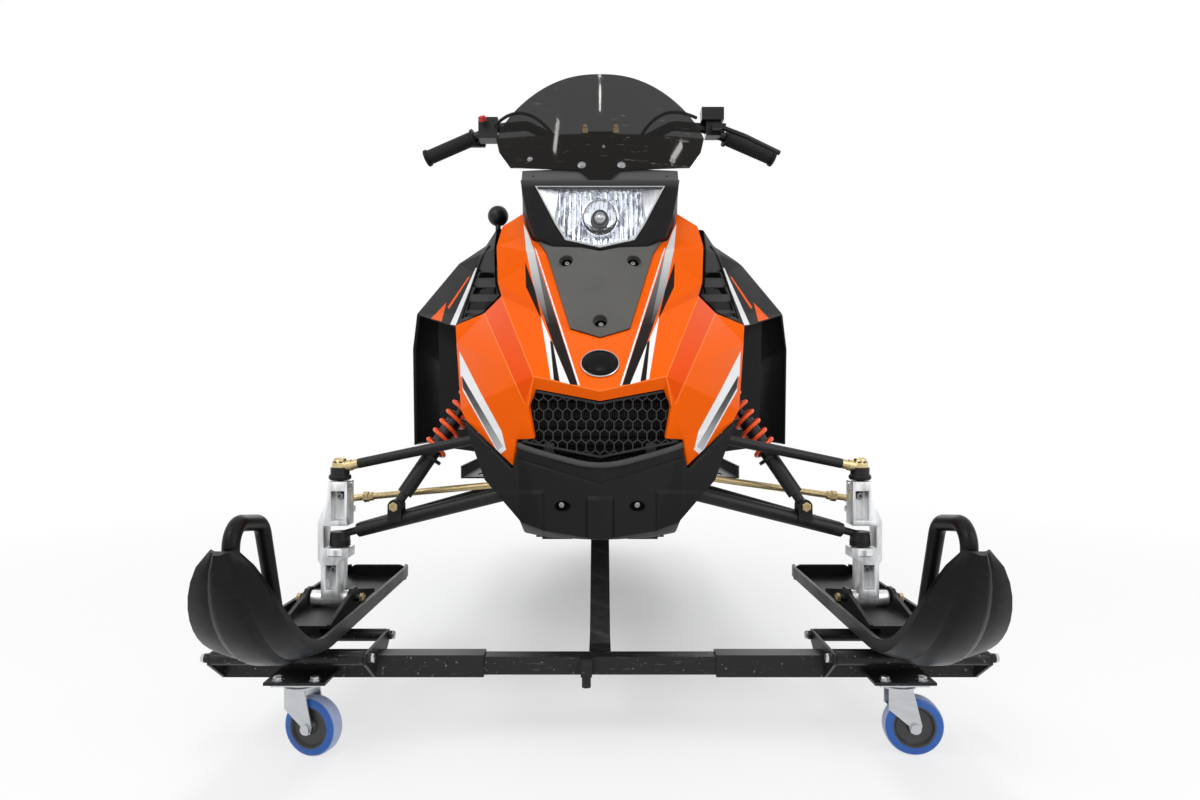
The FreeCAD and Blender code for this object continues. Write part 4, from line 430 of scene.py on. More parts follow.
def plated(finish, colour, roughness=0.3):
    """Zinc plate: bright metal with faint spangles and streaks."""
    finish.fix(metallic=1.0)
    streak = finish.noise(40, 4, 0.6, (1, 1, 5))
    finish.colour(streak, dim(colour, 0.72), pale(colour, 0.12))
    finish.rough(streak * 0.7 + finish.cells(130) * 0.3, roughness - 0.08, roughness + 0.14, 0.1, 0.8)
    finish.bump(finish.noise(240, 3), 0.0001)


def cast_metal(finish, colour, roughness=0.34):
    """Sand-cast light alloy: satin with a pebbled skin."""
    finish.fix(metallic=0.75)
    skin = finish.noise(150, 4, 0.6)
    pour = finish.noise(1, 3, 0.6, (70, 70, 16))
    finish.colour(finish.level(pour, 0.3, 0.6), dim(colour, 0.62), pale(colour, 0.2))
    finish.rough(skin, roughness - 0.06, roughness + 0.12)
    finish.bump(skin + finish.noise(700, 2) * 0.3, 0.0002)


def soft_rubber(finish, colour, roughness=0.62):
    """Matt rubber with a dusty bloom."""
    finish.fix(specular_ior_level=0.2)
    bloom = finish.noise(45, 4, 0.6)
    finish.colour(bloom * 0.5, colour, pale(colour, 0.02))
    finish.rough(bloom, roughness - 0.05, roughness + 0.12)
    finish.bump(finish.noise(420, 3), 0.0001)


def castor_finish(finish, place):
    """Dark hub, coloured ring and pale tread, told apart by the distance from the axle."""
    wheel = "castor_wheel_" + place
    low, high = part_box(wheel)
    axle = Vector(entry(frame["joints"], "castor_spin_" + place)["axis"]).normalized()
    finish.fix(specular_ior_level=0.45)
    arm = finish.node("VectorMath", {0: finish.place(), 1: (low + high) / 2}, operation="SUBTRACT")
    cross = finish.node("VectorMath", {0: arm, 1: axle}, operation="CROSS_PRODUCT")
    radius = finish.node("VectorMath", {0: cross}, output="Value", operation="LENGTH")
    worn = finish.noise(60, 4, 0.6)
    ring = finish.blend(worn * 0.5, "castor", pale("castor", 0.08))
    tread = finish.blend(worn, pale("castor", 0.3), pale("castor", 0.5))
    hub_end, tread_start = finish.level(radius, 0.0355, 0.0362), finish.level(radius, 0.0475, 0.0488)
    hub = finish.blend(worn * 0.5, (0.03, 0.03, 0.032), 0.12)
    finish.colour(hub_end, hub, finish.blend(tread_start, ring, tread))
    finish.rough(worn, 0.34, 0.5)
    finish.bump(finish.noise(320, 3), 0.0001)


def taped(finish):
    """Black tape wound round the strut in overlapping turns, with a painted highlight along the edge of each turn."""
    finish.fix(specular_ior_level=0.4)
    x, y, z = finish.axes()
    turn = (z * 24 + x * 6).fraction()
    crease = finish.noise(70, 4, 0.6)
    # Painted highlight: a paler band along the edge of each turn.
    step = finish.level(turn, 0.0, 0.16, 1, 0)
    finish.colour(crease * 0.5 + step * 0.3, (0.012, 0.012, 0.0125), (0.11, 0.11, 0.108))
    finish.rough(crease, 0.3, 0.5)
    finish.bump(turn * 0.6 + crease * 0.5, 0.0012)


def seat_vinyl(finish):
    """Pebbled seat vinyl."""
    finish.fix(specular_ior_level=0.35)
    wear = finish.noise(14, 4, 0.6)
    finish.colour(wear * 0.6, (0.009, 0.009, 0.0095), (0.022, 0.022, 0.0225))
    finish.rough(wear, 0.42, 0.58)
    finish.bump(finish.cells(420), 0.0004)


def tinted(finish):
    """Dark smoke screen with fine wiping scratches, clearer where nothing but air is behind it."""
    finish.fix(specular_ior_level=0.16, specular_tint=(1, 0.95, 0.9))
    finish.set("Alpha", finish.level(finish.axes()[2], 1.137, 1.141, 1.0, 0.79))
    haze = finish.noise(9, 4, 0.6)
    rubs = finish.noise(24, 5, 0.7, (1, 1, 6), 0.95)
    wipes = finish.noise(24, 5, 0.7, (1, 1, 7), -0.8)
    marks = finish.level(rubs, 0.63, 0.7).most(finish.level(wipes, 0.64, 0.7))
    finish.colour(marks * 0.3 * finish.level(haze, 0.4, 0.6), (0.003, 0.0027, 0.0025), (0.5, 0.49, 0.47))
    finish.rough(marks, 0.035, 0.3, 0, 1)


def radiator(finish):
    """Upright fins of the cooler behind the grille, with painted light on the fins' crests and painted shade between
    the fins and between their rows.
    """
    finish.fix(metallic=0.6, roughness=0.5)
    x, y, z = finish.axes()
    fin = (x * 1900).sine()
    # Painted shade: dark bands between the rows.
    rows = finish.level(abs((z * 62).fraction() - 0.5), 0.08, 0.2)
    grime = finish.noise(30, 4, 0.7)
    # Painted light and shade: fin crests paler, the gaps near black; the noise varies it at random.
    finish.colour(rows * finish.level(fin, -0.4, 0.8) * grime, 0.003, (0.09, 0.088, 0.085))
    finish.bump(fin, 0.0006)


def clear(finish):
    """Clear lens."""
    finish.fix(transmission_weight=1.0, roughness=0.02, ior=1.42, base_color=(0.97, 0.98, 1))
    finish.bump((finish.axes()[0] * 500).sine() * 0.4 + finish.noise(30, 1), 0.00012)


def mirror(finish):
    """Vacuum-plated reflector with upright streaks of painted reflection."""
    finish.fix(metallic=1.0, roughness=0.12)
    streak = finish.noise(1, 4, 0.7, (190, 60, 42))
    # Painted reflection: dark and bright upright streaks in the plating's colour.
    finish.colour(finish.level(streak, 0.4, 0.5), (0.26, 0.28, 0.33),
                  finish.blend(finish.noise(70, 2), (0.8, 0.86, 0.95), 1))
    finish.bump(finish.noise(120, 2), 0.0006)


def grooved(finish):
    """Grip rubber with rings and a fine diamond cut."""
    finish.fix(specular_ior_level=0.2)
    bloom = finish.noise(60, 4)
    finish.colour(bloom * 0.5, 0.009, 0.03)
    finish.rough(bloom, 0.5, 0.7)
    finish.bump((finish.axes()[0] * 1300).sine() * 0.5 + finish.cells(520), 0.0006)


def red_lens(finish):
    """Ribbed red glass of the tail lamp, with painted light and shade across each rib."""
    finish.fix(roughness=0.12, coat_weight=0.5)
    ribs = (finish.axes()[0] * 700).sine()
    # Painted light and shade: a paler and a darker red across each rib.
    finish.colour(finish.level(ribs, -1, 1), (0.22, 0.002, 0.002), (0.5, 0.008, 0.008))
    finish.bump(ribs, 0.0005)


# Each finish: the CAD nodes that have it, its recipe and the recipe's values.
RECIPES = {
    "hood gloss": ("hood", gloss_shell),
    "side moulding": ("side_panel_left side_panel_right", striped_moulding),
    "belly moulding": ("belly_pan", ribbed_belly),
    "black moulding": ("tank_cover", moulded, "moulding"),
    "panel moulding": ("hood_panel", moulded, (0.12, 0.117, 0.109), 0.45, 0.00003),
    # The nacelle gets a painted highlight on its top, above 1.03 m.
    "nacelle moulding": ("nacelle", moulded, 0.0075, 0.5, 0.00006, 0.15, 1.03),
    "gloss black": ("", moulded, 0.0015, 0.14, 0.00001, 0.1),
    # Paler than the other black mouldings: a painted highlight for the belly pan's lip.
    "lip moulding": ("", moulded, (0.075, 0.075, 0.073), 0.4, 0.00003),
    "ski plastic": ("ski_left ski_right ski_loop_left ski_loop_right",
                    moulded, (0.004, 0.004, 0.0042), 0.33, 0.00003, 0.14),
    "grille plastic": ("grille", moulded, (0.014, 0.014, 0.0145), 0.3, 0.00002, 0.5),
    "control plastic": ("brake_control throttle_control shift_lever", moulded, 0.007, 0.36, 0.00004, 0.3),
    "slide plastic": ("slide_rails track_wheels", moulded, 0.012, 0.5),
    # Near black, for sheets that stand for the shade in recesses and gaps: painted shade.
    "deep recess": ("", moulded, 0.0008, 0.8, 0.00002, 0.0),
    "dull brass": ("", moulded, (0.19, 0.14, 0.075), 0.5, 0.00002),
    "switch red": ("", moulded, (0.6, 0.01, 0.006), 0.35, 0.00002, 0.5),
    "black steel": ("saddle_left saddle_right lower_arms upper_arms front_shocks steering_post bulkhead"
                    " rear_bumper rear_suspension", powder, (0.009, 0.009, 0.0095)),
    "bar steel": ("handlebar", powder, 0.008, 0.3),
    "tunnel metal": ("tunnel running_boards", powder, (0.03, 0.03, 0.031), 0.45),
    "spring paint": ("front_springs", powder, "spring", 0.3),
    "dolly steel": ("dolly_frame dolly_arm_left dolly_arm_right cradle_rollers dolly_tray tow_pin",
                    scuffed, (0.009, 0.009, 0.0095)),
    "strut tape": ("dolly_strut", taped),
    "white zinc": ("castor_plates castor_fork_left castor_fork_right castor_fork_rear",
                   plated, (0.62, 0.64, 0.66)),
    "gilt zinc": ("tie_rod_left tie_rod_right", plated, "gilt", 0.32),
    "screw steel": ("", plated, (0.24, 0.24, 0.25), 0.36),
    "bright steel": ("", plated, 0.6, 0.28),
    "engine iron": ("engine", cast_metal, 0.2, 0.55),
    "cast alloy": ("spindle_left spindle_right", cast_metal, (0.93, 0.94, 0.95)),
    "core metal": ("", radiator),
    "track rubber": ("snow_flap track", soft_rubber, 0.009),
    "boot rubber": ("", soft_rubber, 0.006, 0.42),
    "grip rubber": ("grips", grooved),
    "seat vinyl": ("seat", seat_vinyl),
    "smoke screen": ("windshield", tinted),
    "clear lens": ("headlamp", clear),
    "reflector": ("", mirror),
    "tail lens": ("tail_lamp", red_lens),
}
RECIPES.update({"castor " + place: ("castor_wheel_" + place, castor_finish, place) for place in CASTORS})
NODE_FINISH = {node: name for name, (nodes, *recipe) in RECIPES.items() for node in nodes.split()}
FINISHES = {}


def finish_of(name):
    """The named finish, made when it is first asked for."""
    if name not in FINISHES:
        nodes, recipe, *values = RECIPES[name]
        finish = Finish(name)
        recipe(finish, *values)
        FINISHES[name] = finish.material
    return FINISHES[name]


# Modelling helpers


def mm(x, y, z):
    """A point or a size in metres from millimetres."""
    return Vector((x / 1000, y / 1000, z / 1000))


def only(piece=None):
    """Deselect everything but one piece and make it active."""
    if bpy.context.object and bpy.context.object.mode != "OBJECT":
        bpy.ops.object.mode_set(mode="OBJECT")
    bpy.ops.object.select_all(action="DESELECT")
    if piece:
        piece.select_set(True)
        bpy.context.view_layer.objects.active = piece
    return piece


def placed(name, data):
    """A new object in the scene, alone in the selection."""
    piece = bpy.data.objects.new(name, data)
    bpy.context.collection.objects.link(piece)
    return only(piece)


@contextmanager
def editing(piece):
    """Edit mode with all of one piece's mesh selected."""
    only(piece)
    bpy.ops.object.mode_set(mode="EDIT")
    bpy.ops.mesh.select_all(action="SELECT")
    yield
    bpy.ops.object.mode_set(mode="OBJECT")


def face_outward():
    bpy.ops.mesh.select_all(action="SELECT")
    bpy.ops.mesh.normals_make_consistent(inside=False)


def settle(piece, name, finish, slot, body="chassis", smooth=35):
    """Name a finished piece, apply its place, give it its finish and let it ride."""
    only(piece)
    piece.name = name
    piece.data.name = name
    bpy.ops.object.transform_apply(location=True, rotation=True, scale=True)
    bpy.ops.object.shade_smooth_by_angle(angle=math.radians(smooth))
    piece.data.materials.clear()
    piece.data.materials.append(finish_of(finish))
    if body:
        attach(piece, body)
    return piece


def modified(piece, kind, **settings):
    """Add a modifier with its settings and apply it."""
    only(piece)
    modifier = assigned(piece.modifiers.new(kind, kind), **settings)
    bpy.ops.object.modifier_apply(modifier=modifier.name)
    return piece


def rounded(piece, width, segments=2, angle=25):
    """Bevel a piece's sharp edges."""
    return modified(piece, "BEVEL", width=width / 1000, segments=segments, limit_method="ANGLE",
                    angle_limit=math.radians(angle))


def joined(pieces):
    """Several pieces made one."""
    only(pieces[0])
    for piece in pieces[1:]:
        piece.select_set(True)
    bpy.ops.object.join()
    return bpy.context.object


def turned(rings, centre, axis, sides=32):
    """A round piece raised from a disc: rings are (radius, height) pairs along the axis."""
    rings = [(radius / 1000, height / 1000) for radius, height in rings]
    only()
    bpy.ops.mesh.primitive_circle_add(vertices=sides, radius=rings[0][0], fill_type="NGON",
                                      location=(0, 0, rings[0][1]))
    piece = bpy.context.object
    bpy.ops.object.transform_apply(location=True)
    with editing(piece):
        for (radius, height), (next_radius, next_height) in zip(rings, rings[1:]):
            bpy.ops.mesh.extrude_region_move(TRANSFORM_OT_translate={"value": (0, 0, next_height - height)})
            share = next_radius / radius
            bpy.ops.transform.resize(value=(share, share, 1), center_override=(0, 0, next_height))
        face_outward()
    turn = Vector(axis).to_track_quat("Z", "Y").to_matrix().to_4x4()
    piece.matrix_world = Matrix.Translation(centre) @ turn
    bpy.ops.object.transform_apply(location=True, rotation=True)
    return piece


def lathe(name, finish, slot, rings, centre, axis=UP, sides=32, body="chassis", smooth=35):
    """A round piece, finished."""
    return settle(turned(rings, centre, axis, sides), name, finish, slot, body, smooth)


def driven(name, finish, slot, spot, axis, radius, height, body="chassis", sides=6):
    """A screw or nut head with a crowned top and a small recess, standing on a spot."""
    lathe(name, finish, slot, [(radius, -0.6), (radius, height * 0.8), (radius * 0.86, height),
                               (radius * 0.42, height), (radius * 0.36, height * 0.6)], spot, axis, sides, body)


def block(size, centre):
    """A block of a size at a place."""
    only()
    bpy.ops.mesh.primitive_cube_add(size=1, location=centre)
    piece = bpy.context.object
    piece.scale = mm(*size)
    bpy.ops.object.transform_apply(location=True, scale=True)
    return piece


def plate(corners, thickness, direction):
    """A flat or slightly bent plate: a face through corners, pushed along a direction."""
    mesh = bpy.data.meshes.new("plate")
    mesh.from_pydata([tuple(corner) for corner in corners], [], [tuple(range(len(corners)))])
    piece = placed("plate", mesh)
    push = Vector(direction).normalized() * (thickness / 1000)
    with editing(piece):
        bpy.ops.mesh.extrude_region_move(TRANSFORM_OT_translate={"value": tuple(push)})
        face_outward()
    return piece


def hose(points, radius, sides=4):
    """A smooth bent tube through control points."""
    curve = assigned(bpy.data.curves.new("hose", "CURVE"), dimensions="3D", bevel_depth=radius / 1000,
                     bevel_resolution=sides, use_fill_caps=True)
    spline = curve.splines.new("NURBS")
    spline.points.add(len(points) - 1)
    for point, spot in zip(spline.points, points):
        point.co = (*spot, 1)
    assigned(spline, order_u=3, use_endpoint_u=True, resolution_u=8)
    placed("hose", curve)
    bpy.ops.object.convert(target="MESH")
    return bpy.context.object


def mesh_copy(node, flat=True):
    """A merged copy of a CAD node's mesh, with the triangles of its flat faces joined."""
    piece = placed(node + "_copy", frame["nodes"][node].data.copy())
    with editing(piece):
        bpy.ops.mesh.remove_doubles(threshold=SAME_SPOT)
        if flat:
            bpy.ops.mesh.dissolve_limited(angle_limit=math.radians(FLAT))
    if piece.data.has_custom_normals:
        bpy.ops.mesh.customdata_custom_splitnormals_clear()
    return piece


def sight(u, v):
    """The way from the eye to a place on the decal sheet, with a depth of one."""
    return Vector(((u - SHEET[0]) / REACH, 1, (SHEET[1] - v) / REACH))


TREES = {}


def sighted(u, v, node):
    """Where the line from the eye through a place on the decal sheet meets a CAD node, and the normal there."""
    if node not in TREES:
        mesh = frame["nodes"][node].data
        TREES[node] = BVHTree.FromPolygons([tuple(vertex.co) for vertex in mesh.vertices],
                                           [tuple(face.vertices) for face in mesh.polygons])
    ray = sight(u, v).normalized()
    spot, normal, index, distance = TREES[node].ray_cast(EYE, ray)
    if spot is None:
        raise RuntimeError("%s isn't seen at %d, %d" % (node, u, v))
    return spot, normal if normal.dot(ray) < 0 else -normal


def body_of(node):
    """The body that carries a node."""
    return next(name for name, body in frame["record"]["behaviour"]["bodies"].items()
                if node in (body["nodes"] if isinstance(body, dict) else body))


def slot_of(node):
    """The material slot that the record gives a node."""
    return entry(frame["record"]["subparts"], node, "node")["material_slot"]


def frame_joint(name):
    """Where a joint of the frame sits."""
    return Vector(entry(frame["record"]["behaviour"]["joints"], name)["pos_m"])


# Pieces


# What several small pieces are made of: a finish and a material slot.
BLACK = ("black moulding", "black_shell")
# Near-black sheets laid in recesses and gaps as painted shade.
SHADE_SHEET = ("deep recess", "black_shell")
STEEL = ("screw steel", "white_zinc")
GILT = ("gilt zinc", "yellow_zinc")
ZINC = ("white zinc", "white_zinc")
BOOT = ("boot rubber", "black_steel")


class SNOWMOBILE_OT_paint(bpy.types.Operator):
    """Give every carried-over CAD node its finish"""

    bl_idname = "snowmobile.paint"
    bl_label = "Paint the frame"

    def execute(self, context):
        for name, node in frame["nodes"].items():
            for place in node.material_slots:
                place.material = finish_of(NODE_FINISH[name])
        return {"FINISHED"}


class SNOWMOBILE_OT_mouldings(bpy.types.Operator):
    """Round the edges of the moulded panels and castings, and smooth the skis"""

    bl_idname = "snowmobile.mouldings"
    bl_label = "Mouldings"

    def execute(self, context):
        # Nodes with rounded edges: the width as a share of the edge size, and the angle that counts as an edge.
        edged = {"hood": (1.5, 8), "belly_pan": (1.6, 8), "nacelle": (1.5, 8), "side_panel_left": (1.5, 8),
                 "side_panel_right": (1.5, 8), "tank_cover": (6, 8), "spindle_left": (0.7, 30),
                 "spindle_right": (0.7, 30)}
        smoothed = (
            "ski_left ski_right ski_loop_left ski_loop_right windshield front_springs front_shocks lower_arms"
            " upper_arms handlebar grips shift_lever rear_bumper tie_rod_left tie_rod_right castor_wheel_left"
            " castor_wheel_right castor_wheel_rear steering_post cradle_rollers")
        for node in [*edged, *smoothed.split()]:
            piece = mesh_copy(node, flat=node in edged)
            if node in edged:
                share, angle = edged[node]
                rounded(piece, sizes().edge * 1000 * share, 3, angle)
            if "loop" in node:
                modified(piece, "DISPLACE", strength=0.0028, mid_level=0)
            settle(piece, node + "_skin", NODE_FINISH[node], slot_of(node), body_of(node), 32)
            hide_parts(node)
        return {"FINISHED"}


class SNOWMOBILE_OT_emblem(bpy.types.Operator):
    """A plain domed disc with a bright rim on the hood"""

    bl_idname = "snowmobile.emblem"
    bl_label = "Emblem disc"

    def execute(self, context):
        spot, normal = sighted(601, 364, "hood")
        flat = Vector((0, normal.y, normal.z)).normalized()
        centre = Vector((0, spot.y, spot.z)) + flat * 0.0005
        radius = sizes().emblem * 1000
        lathe("emblem_rim", "bright steel", "white_zinc",
              [(radius, 0), (radius, 2.2), (radius - 1, 3), (radius - 1.5, 3), (radius - 2, 2.2)], centre, flat, 64)
        lathe("emblem_dome", "gloss black", "black_shell",
              [(radius - 2, 2.2), (radius - 4, 3.4), (radius * 0.6, 4.6), (radius * 0.2, 5.2)], centre, flat, 64,
              smooth=60)
        return {"FINISHED"}


class SNOWMOBILE_OT_screws(bpy.types.Operator):
    """Screws in the recesses of the hood's cover and the belly pan, with near-black discs in those recesses as painted
    shade, and on the windshield
    """

    bl_idname = "snowmobile.screws"
    bl_label = "Screws"

    def execute(self, context):
        for index, (u, v) in enumerate(((567.2, 264.6), (632.8, 264.6), (601, 325.5))):
            spot = sighted(u, v, "hood_panel")[0]
            # A near-black disc in each cup of the cover: painted shade.
            lathe("cover_recess_%d" % index, *SHADE_SHEET, [(11.8, -0.2), (11.8, 0.4)], spot, COVER_OUT, 36)
            driven("cover_screw_%d" % index, *STEEL, spot, COVER_OUT, 4.8, 3.4, sides=20)
        for index, (u, v) in enumerate(((562.6, 506), (637.4, 506))):
            spot, normal = sighted(u, v, "belly_pan")
            # A near-black plate over each recess of the belly pan: painted shade.
            angles = [step * math.tau / 28 for step in range(28)]
            rim = [sighted(u + 7.6 * math.cos(angle), v + 5 * math.sin(angle), "belly_pan")[0] + normal * 0.0012
                   for angle in angles]
            settle(plate(rim, 0.6, normal), "belly_recess_%d" % index, *SHADE_SHEET)
            driven("belly_screw_%d" % index, *STEEL, spot + mm(-1, 0, 2) + normal * 0.0014, normal, 4.6, 2, sides=20)
        for index, (u, v, radius) in enumerate(((530, 159.4, 4.5), (672.5, 161, 4.5), (581.8, 165.2, 6.2),
                                                (621.5, 165.2, 6.2), (603.6, 147, 2.6))):
            rings = [(radius * share, height) for share, height in (
                (1.3, 0), (1.3, 1), (1, 1.8), (0.9, 3), (0.6, 4.2), (0.3, 4.4))]
            lathe("shield_screw_%d" % index, *STEEL, rings, *sighted(u, v, "windshield"), 24)
        for index, u in enumerate((585.3, 616)):
            spot, normal = sighted(u, 131, "windshield")
            clip = block((11, 2.2, 12), spot + normal * 0.001)
            eye = turned([(4.2, 0), (4.2, 2.2), (2, 2.2), (1.8, 1.2)], spot + mm(0, 0, 9) + normal * 0.0005, normal, 20)
            settle(rounded(joined([clip, eye]), 0.4, 2), "shield_clip_%d" % index, "dull brass", "yellow_zinc")
        return {"FINISHED"}


class SNOWMOBILE_OT_bolts(bpy.types.Operator):
    """Bolts and nuts of the spindles, shocks, saddles, tie rods, castor plates and cradles"""

    bl_idname = "snowmobile.bolts"
    bl_label = "Bolts and nuts"

    def execute(self, context):
        for side, sign in SIDES:
            skis = "ski_assembly_" + side
            spindle = "spindle_" + side
            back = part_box(spindle)[0].y * 1000 + 30
            for index, (x, z, radius) in enumerate(((500, 422.5, 8.2), (513, 281.5, 7.5))):
                driven("spindle_bolt_%s_%d" % (side, index), *STEEL, mm(sign * x, back, z), FRONT, radius, 16, skis)
            for index, (x, z, radius, tall) in enumerate(((501, 435.5, 22.5, 13), (506, 308.5, 26.2, 14.5))):
                lathe("spindle_collar_%s_%d" % (side, index), "cast alloy", "white_zinc",
                      [(radius - 2, 0), (radius, 2), (radius, tall - 2), (radius - 2, tall)],
                      mm(sign * x, KINGPIN_Y, z), UP, 40, skis, 40)
            driven("clevis_bolt_" + side, *GILT, mm(sign * 388, -934, 406), FRONT, 9.2, 6.5)
            for end, x, way in (("outer", 578, sign), ("inner", 462, -sign)):
                driven("saddle_nut_%s_%s" % (side, end), *GILT, mm(sign * x, KINGPIN_Y, 225), (way, 0, 0), 9.5, 7, skis)
            far = mm(sign * KINGPIN_X, -832, 410)
            hub = mm(0, -864.4, 484.8) if sign > 0 else mm(0, -875.7, 460.7)
            along = (hub - far).normalized()
            lathe("turnbuckle_" + side, *GILT, [(6.8, 0), (10.5, 0.4), (10.5, 11), (8.6, 11.4), (8.6, 20)],
                  far + along * 0.03, along, 6, "tie_link_" + side)
            ends = [turned([(7.8, -1), (7.8, 4.5), (6.6, 5.6)], mm(sign * x, y, 166.4), (way, 0, 0), 6)
                    for y in (-1081, -938) for x, way in ((674.5, sign), (390.2, -sign))]
            settle(joined(ends), "roller_nuts_" + side, *ZINC)
        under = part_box("castor_plates")[0].z
        for place in CASTORS:
            pivot = frame_joint("castor_turn_" + place)
            heads = []
            for x in (pivot.x - 0.0315, pivot.x + 0.0315):
                for y in (pivot.y - 0.025, pivot.y + 0.025):
                    if place != "rear" and y < pivot.y:
                        heads.append(turned([(10.5, -0.4), (10.5, 1.4), (8.2, 1.4), (8.2, 6.2), (7.2, 7.4)],
                                            (x, y, 0.132), UP, 6))
                    else:
                        heads.append(turned([(7.2, -0.5), (7.2, 3), (6.2, 4)], (x, y, under), (0, 0, -1), 6))
            settle(joined(heads), "plate_bolts_" + place, *ZINC)
        return {"FINISHED"}


class SNOWMOBILE_OT_headlamp(bpy.types.Operator):
    """Reflector with flutes and bowl, bulb cap, side lamps and the clear lens with its rim"""

    bl_idname = "snowmobile.headlamp"
    bl_label = "Headlamp"

    @staticmethod
    def ring(inset, y):
        """The lens's outline, drawn in by an inset, at a depth."""
        middle = mm(0, 0, LAMP_Z)
        points = []
        for x, z in ((0, 903), (68, 918), (87, 948), (126, 1022), (-126, 1022), (-87, 948), (-68, 918)):
            arm = mm(x, 0, z) - middle
            points.append(mm(0, y, 0) + middle + arm * (1 - inset / 1000 / arm.length))
        return points

    def execute(self, context):
        settle(plate(self.ring(3, -853), 2, FRONT), "lamp_back", "reflector", "lamp_lens")
        flutes = []
        for index in range(-9, 10):
            out = abs(index) * 9.8
            low = 914 + out * 0.16
            # The flutes in the middle stop below and above the bowl.
            spans = [(low, 930), (1000, 1014)] if out < 36 else [(low + max(out - 50, 0) * 1.5, 1012)]
            flutes += [turned([(4.6, 0), (4.6, top - foot)], mm(index * 9.8, -856.5, foot), UP, 12)
                       for foot, top in spans]
        settle(joined(flutes), "lamp_flutes", "reflector", "lamp_lens", smooth=40)
        for name, finish, y, sides, smooth, *rings in (
                ("lamp_bowl", "reflector", -856, 48, 50, (36, 0), (36, 12), (33.5, 13), (31, 10), (24, 5), (18, 3)),
                ("lamp_bulb_cap", "bright steel", -857, 32, 40, (11.2, 0), (11.2, 8), (10.2, 10.5), (7.8, 12),
                 (7.4, 9.5), (5.4, 9.5), (4.8, 13.5), (2.8, 15)),
                ("lamp_shade_ring", "gloss black", -857, 32, 40, (15.2, 0), (15.2, 7.5), (14.4, 8.4), (11.8, 8.4),
                 (11.4, 6))):
            lathe(name, finish, "lamp_lens", rings, mm(0, y, LAMP_Z), FRONT, sides, smooth=smooth)
        for side, sign in reversed(SIDES):
            corners = [mm(sign * x, y, z) for x, y, z in (
                (79, -862, 1016), (119, -874, 1017), (89, -870, 955), (83, -862, 952))]
            settle(plate(corners, 1.5, FRONT), "lamp_wing_" + side, "cast alloy", "lamp_lens")
        lens = plate(self.ring(0.8, -884.5), 1.8, BACK)
        settle(rounded(lens, 0.6, 2), "lamp_glass", "clear lens", "lamp_lens")
        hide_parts("headlamp")
        outer, inner = self.ring(0.2, -886.2), self.ring(3.6, -886.2)
        strips = [plate(corners, 3, BACK)
                  for corners in zip(outer, outer[1:] + outer[:1], inner[1:] + inner[:1], inner)]
        settle(joined(strips), "lamp_rim", "bright steel", "lamp_lens", smooth=30)
        return {"FINISHED"}


class SNOWMOBILE_OT_louvres(bpy.types.Operator):
    """Overhanging fins, near-black sheets in the gaps under them as painted shade, and the raised border beside the
    hood on both side panels
    """

    bl_idname = "snowmobile.louvres"
    bl_label = "Louvres"

    def execute(self, context):
        for side, sign in reversed(SIDES):

            def seen(u, v):
                return sighted(SHEET[0] + sign * (SHEET[0] - u), v, "side_panel_" + side)

            fins = []
            for inner, outer, v in ((496, 479.5, 272), (497, 474, 287), (497, 468, 301.5)):
                start, end = seen(inner, v)[0], seen(outer, v)[0]
                fins.append(plate([start, end, end + FIN_OUT * 0.009, start + FIN_OUT * 0.014], 4.2, UP))
            settle(rounded(joined(fins), 0.8, 2), "louvres_" + side, *BLACK)
            # Near-black sheets in the gaps under the fins: painted shade.
            gaps = []
            for top, bottom, corners in (
                    (273, 277.6, (480.6, 495, 494, 478.8)), (288, 294, (475.4, 496, 496, 472.8)),
                    (302.6, 310.2, (469.4, 497, 487.2, 466.8)), (313.2, 316.4, (465.6, 481.5, 476.5, 464.8))):
                spots = [seen(u, v) for u, v in zip(corners, (top, top, bottom, bottom))]
                out = sum((normal for spot, normal in spots), Vector()).normalized()
                gaps.append(plate([spot + out * 0.0004 for spot, normal in spots], 0.5, out))
            settle(joined(gaps), "louvre_gaps_" + side, *SHADE_SHEET)
            line = [seen(u, v) for u, v in (
                (490, 246), (483.5, 255), (478, 269), (472, 287), (466.5, 303), (462.5, 318))]
            border = hose([spot + normal * 0.0006 for spot, normal in line], 2.4, 3)
            settle(border, "louvre_border_" + side, *BLACK, smooth=60)
        return {"FINISHED"}


class SNOWMOBILE_OT_belly_lip(bpy.types.Operator):
    """The rolled upper lip of the belly pan, a paler grey than the pan as a painted highlight"""

    bl_idname = "snowmobile.belly_lip"
    bl_label = "Belly lip"

    def execute(self, context):
        half = ((20, -1091, 496.5), (60, -1080, 505), (130, -1060, 523), (143, -1056, 529))
        points = [mm(-x, y, z) for x, y, z in reversed(half)] + [mm(x, y, z) for x, y, z in half]
        # The lip's paler grey is a painted highlight.
        settle(hose(points, 5, 5), "belly_lip", "lip moulding", "black_shell", smooth=60)
        return {"FINISHED"}


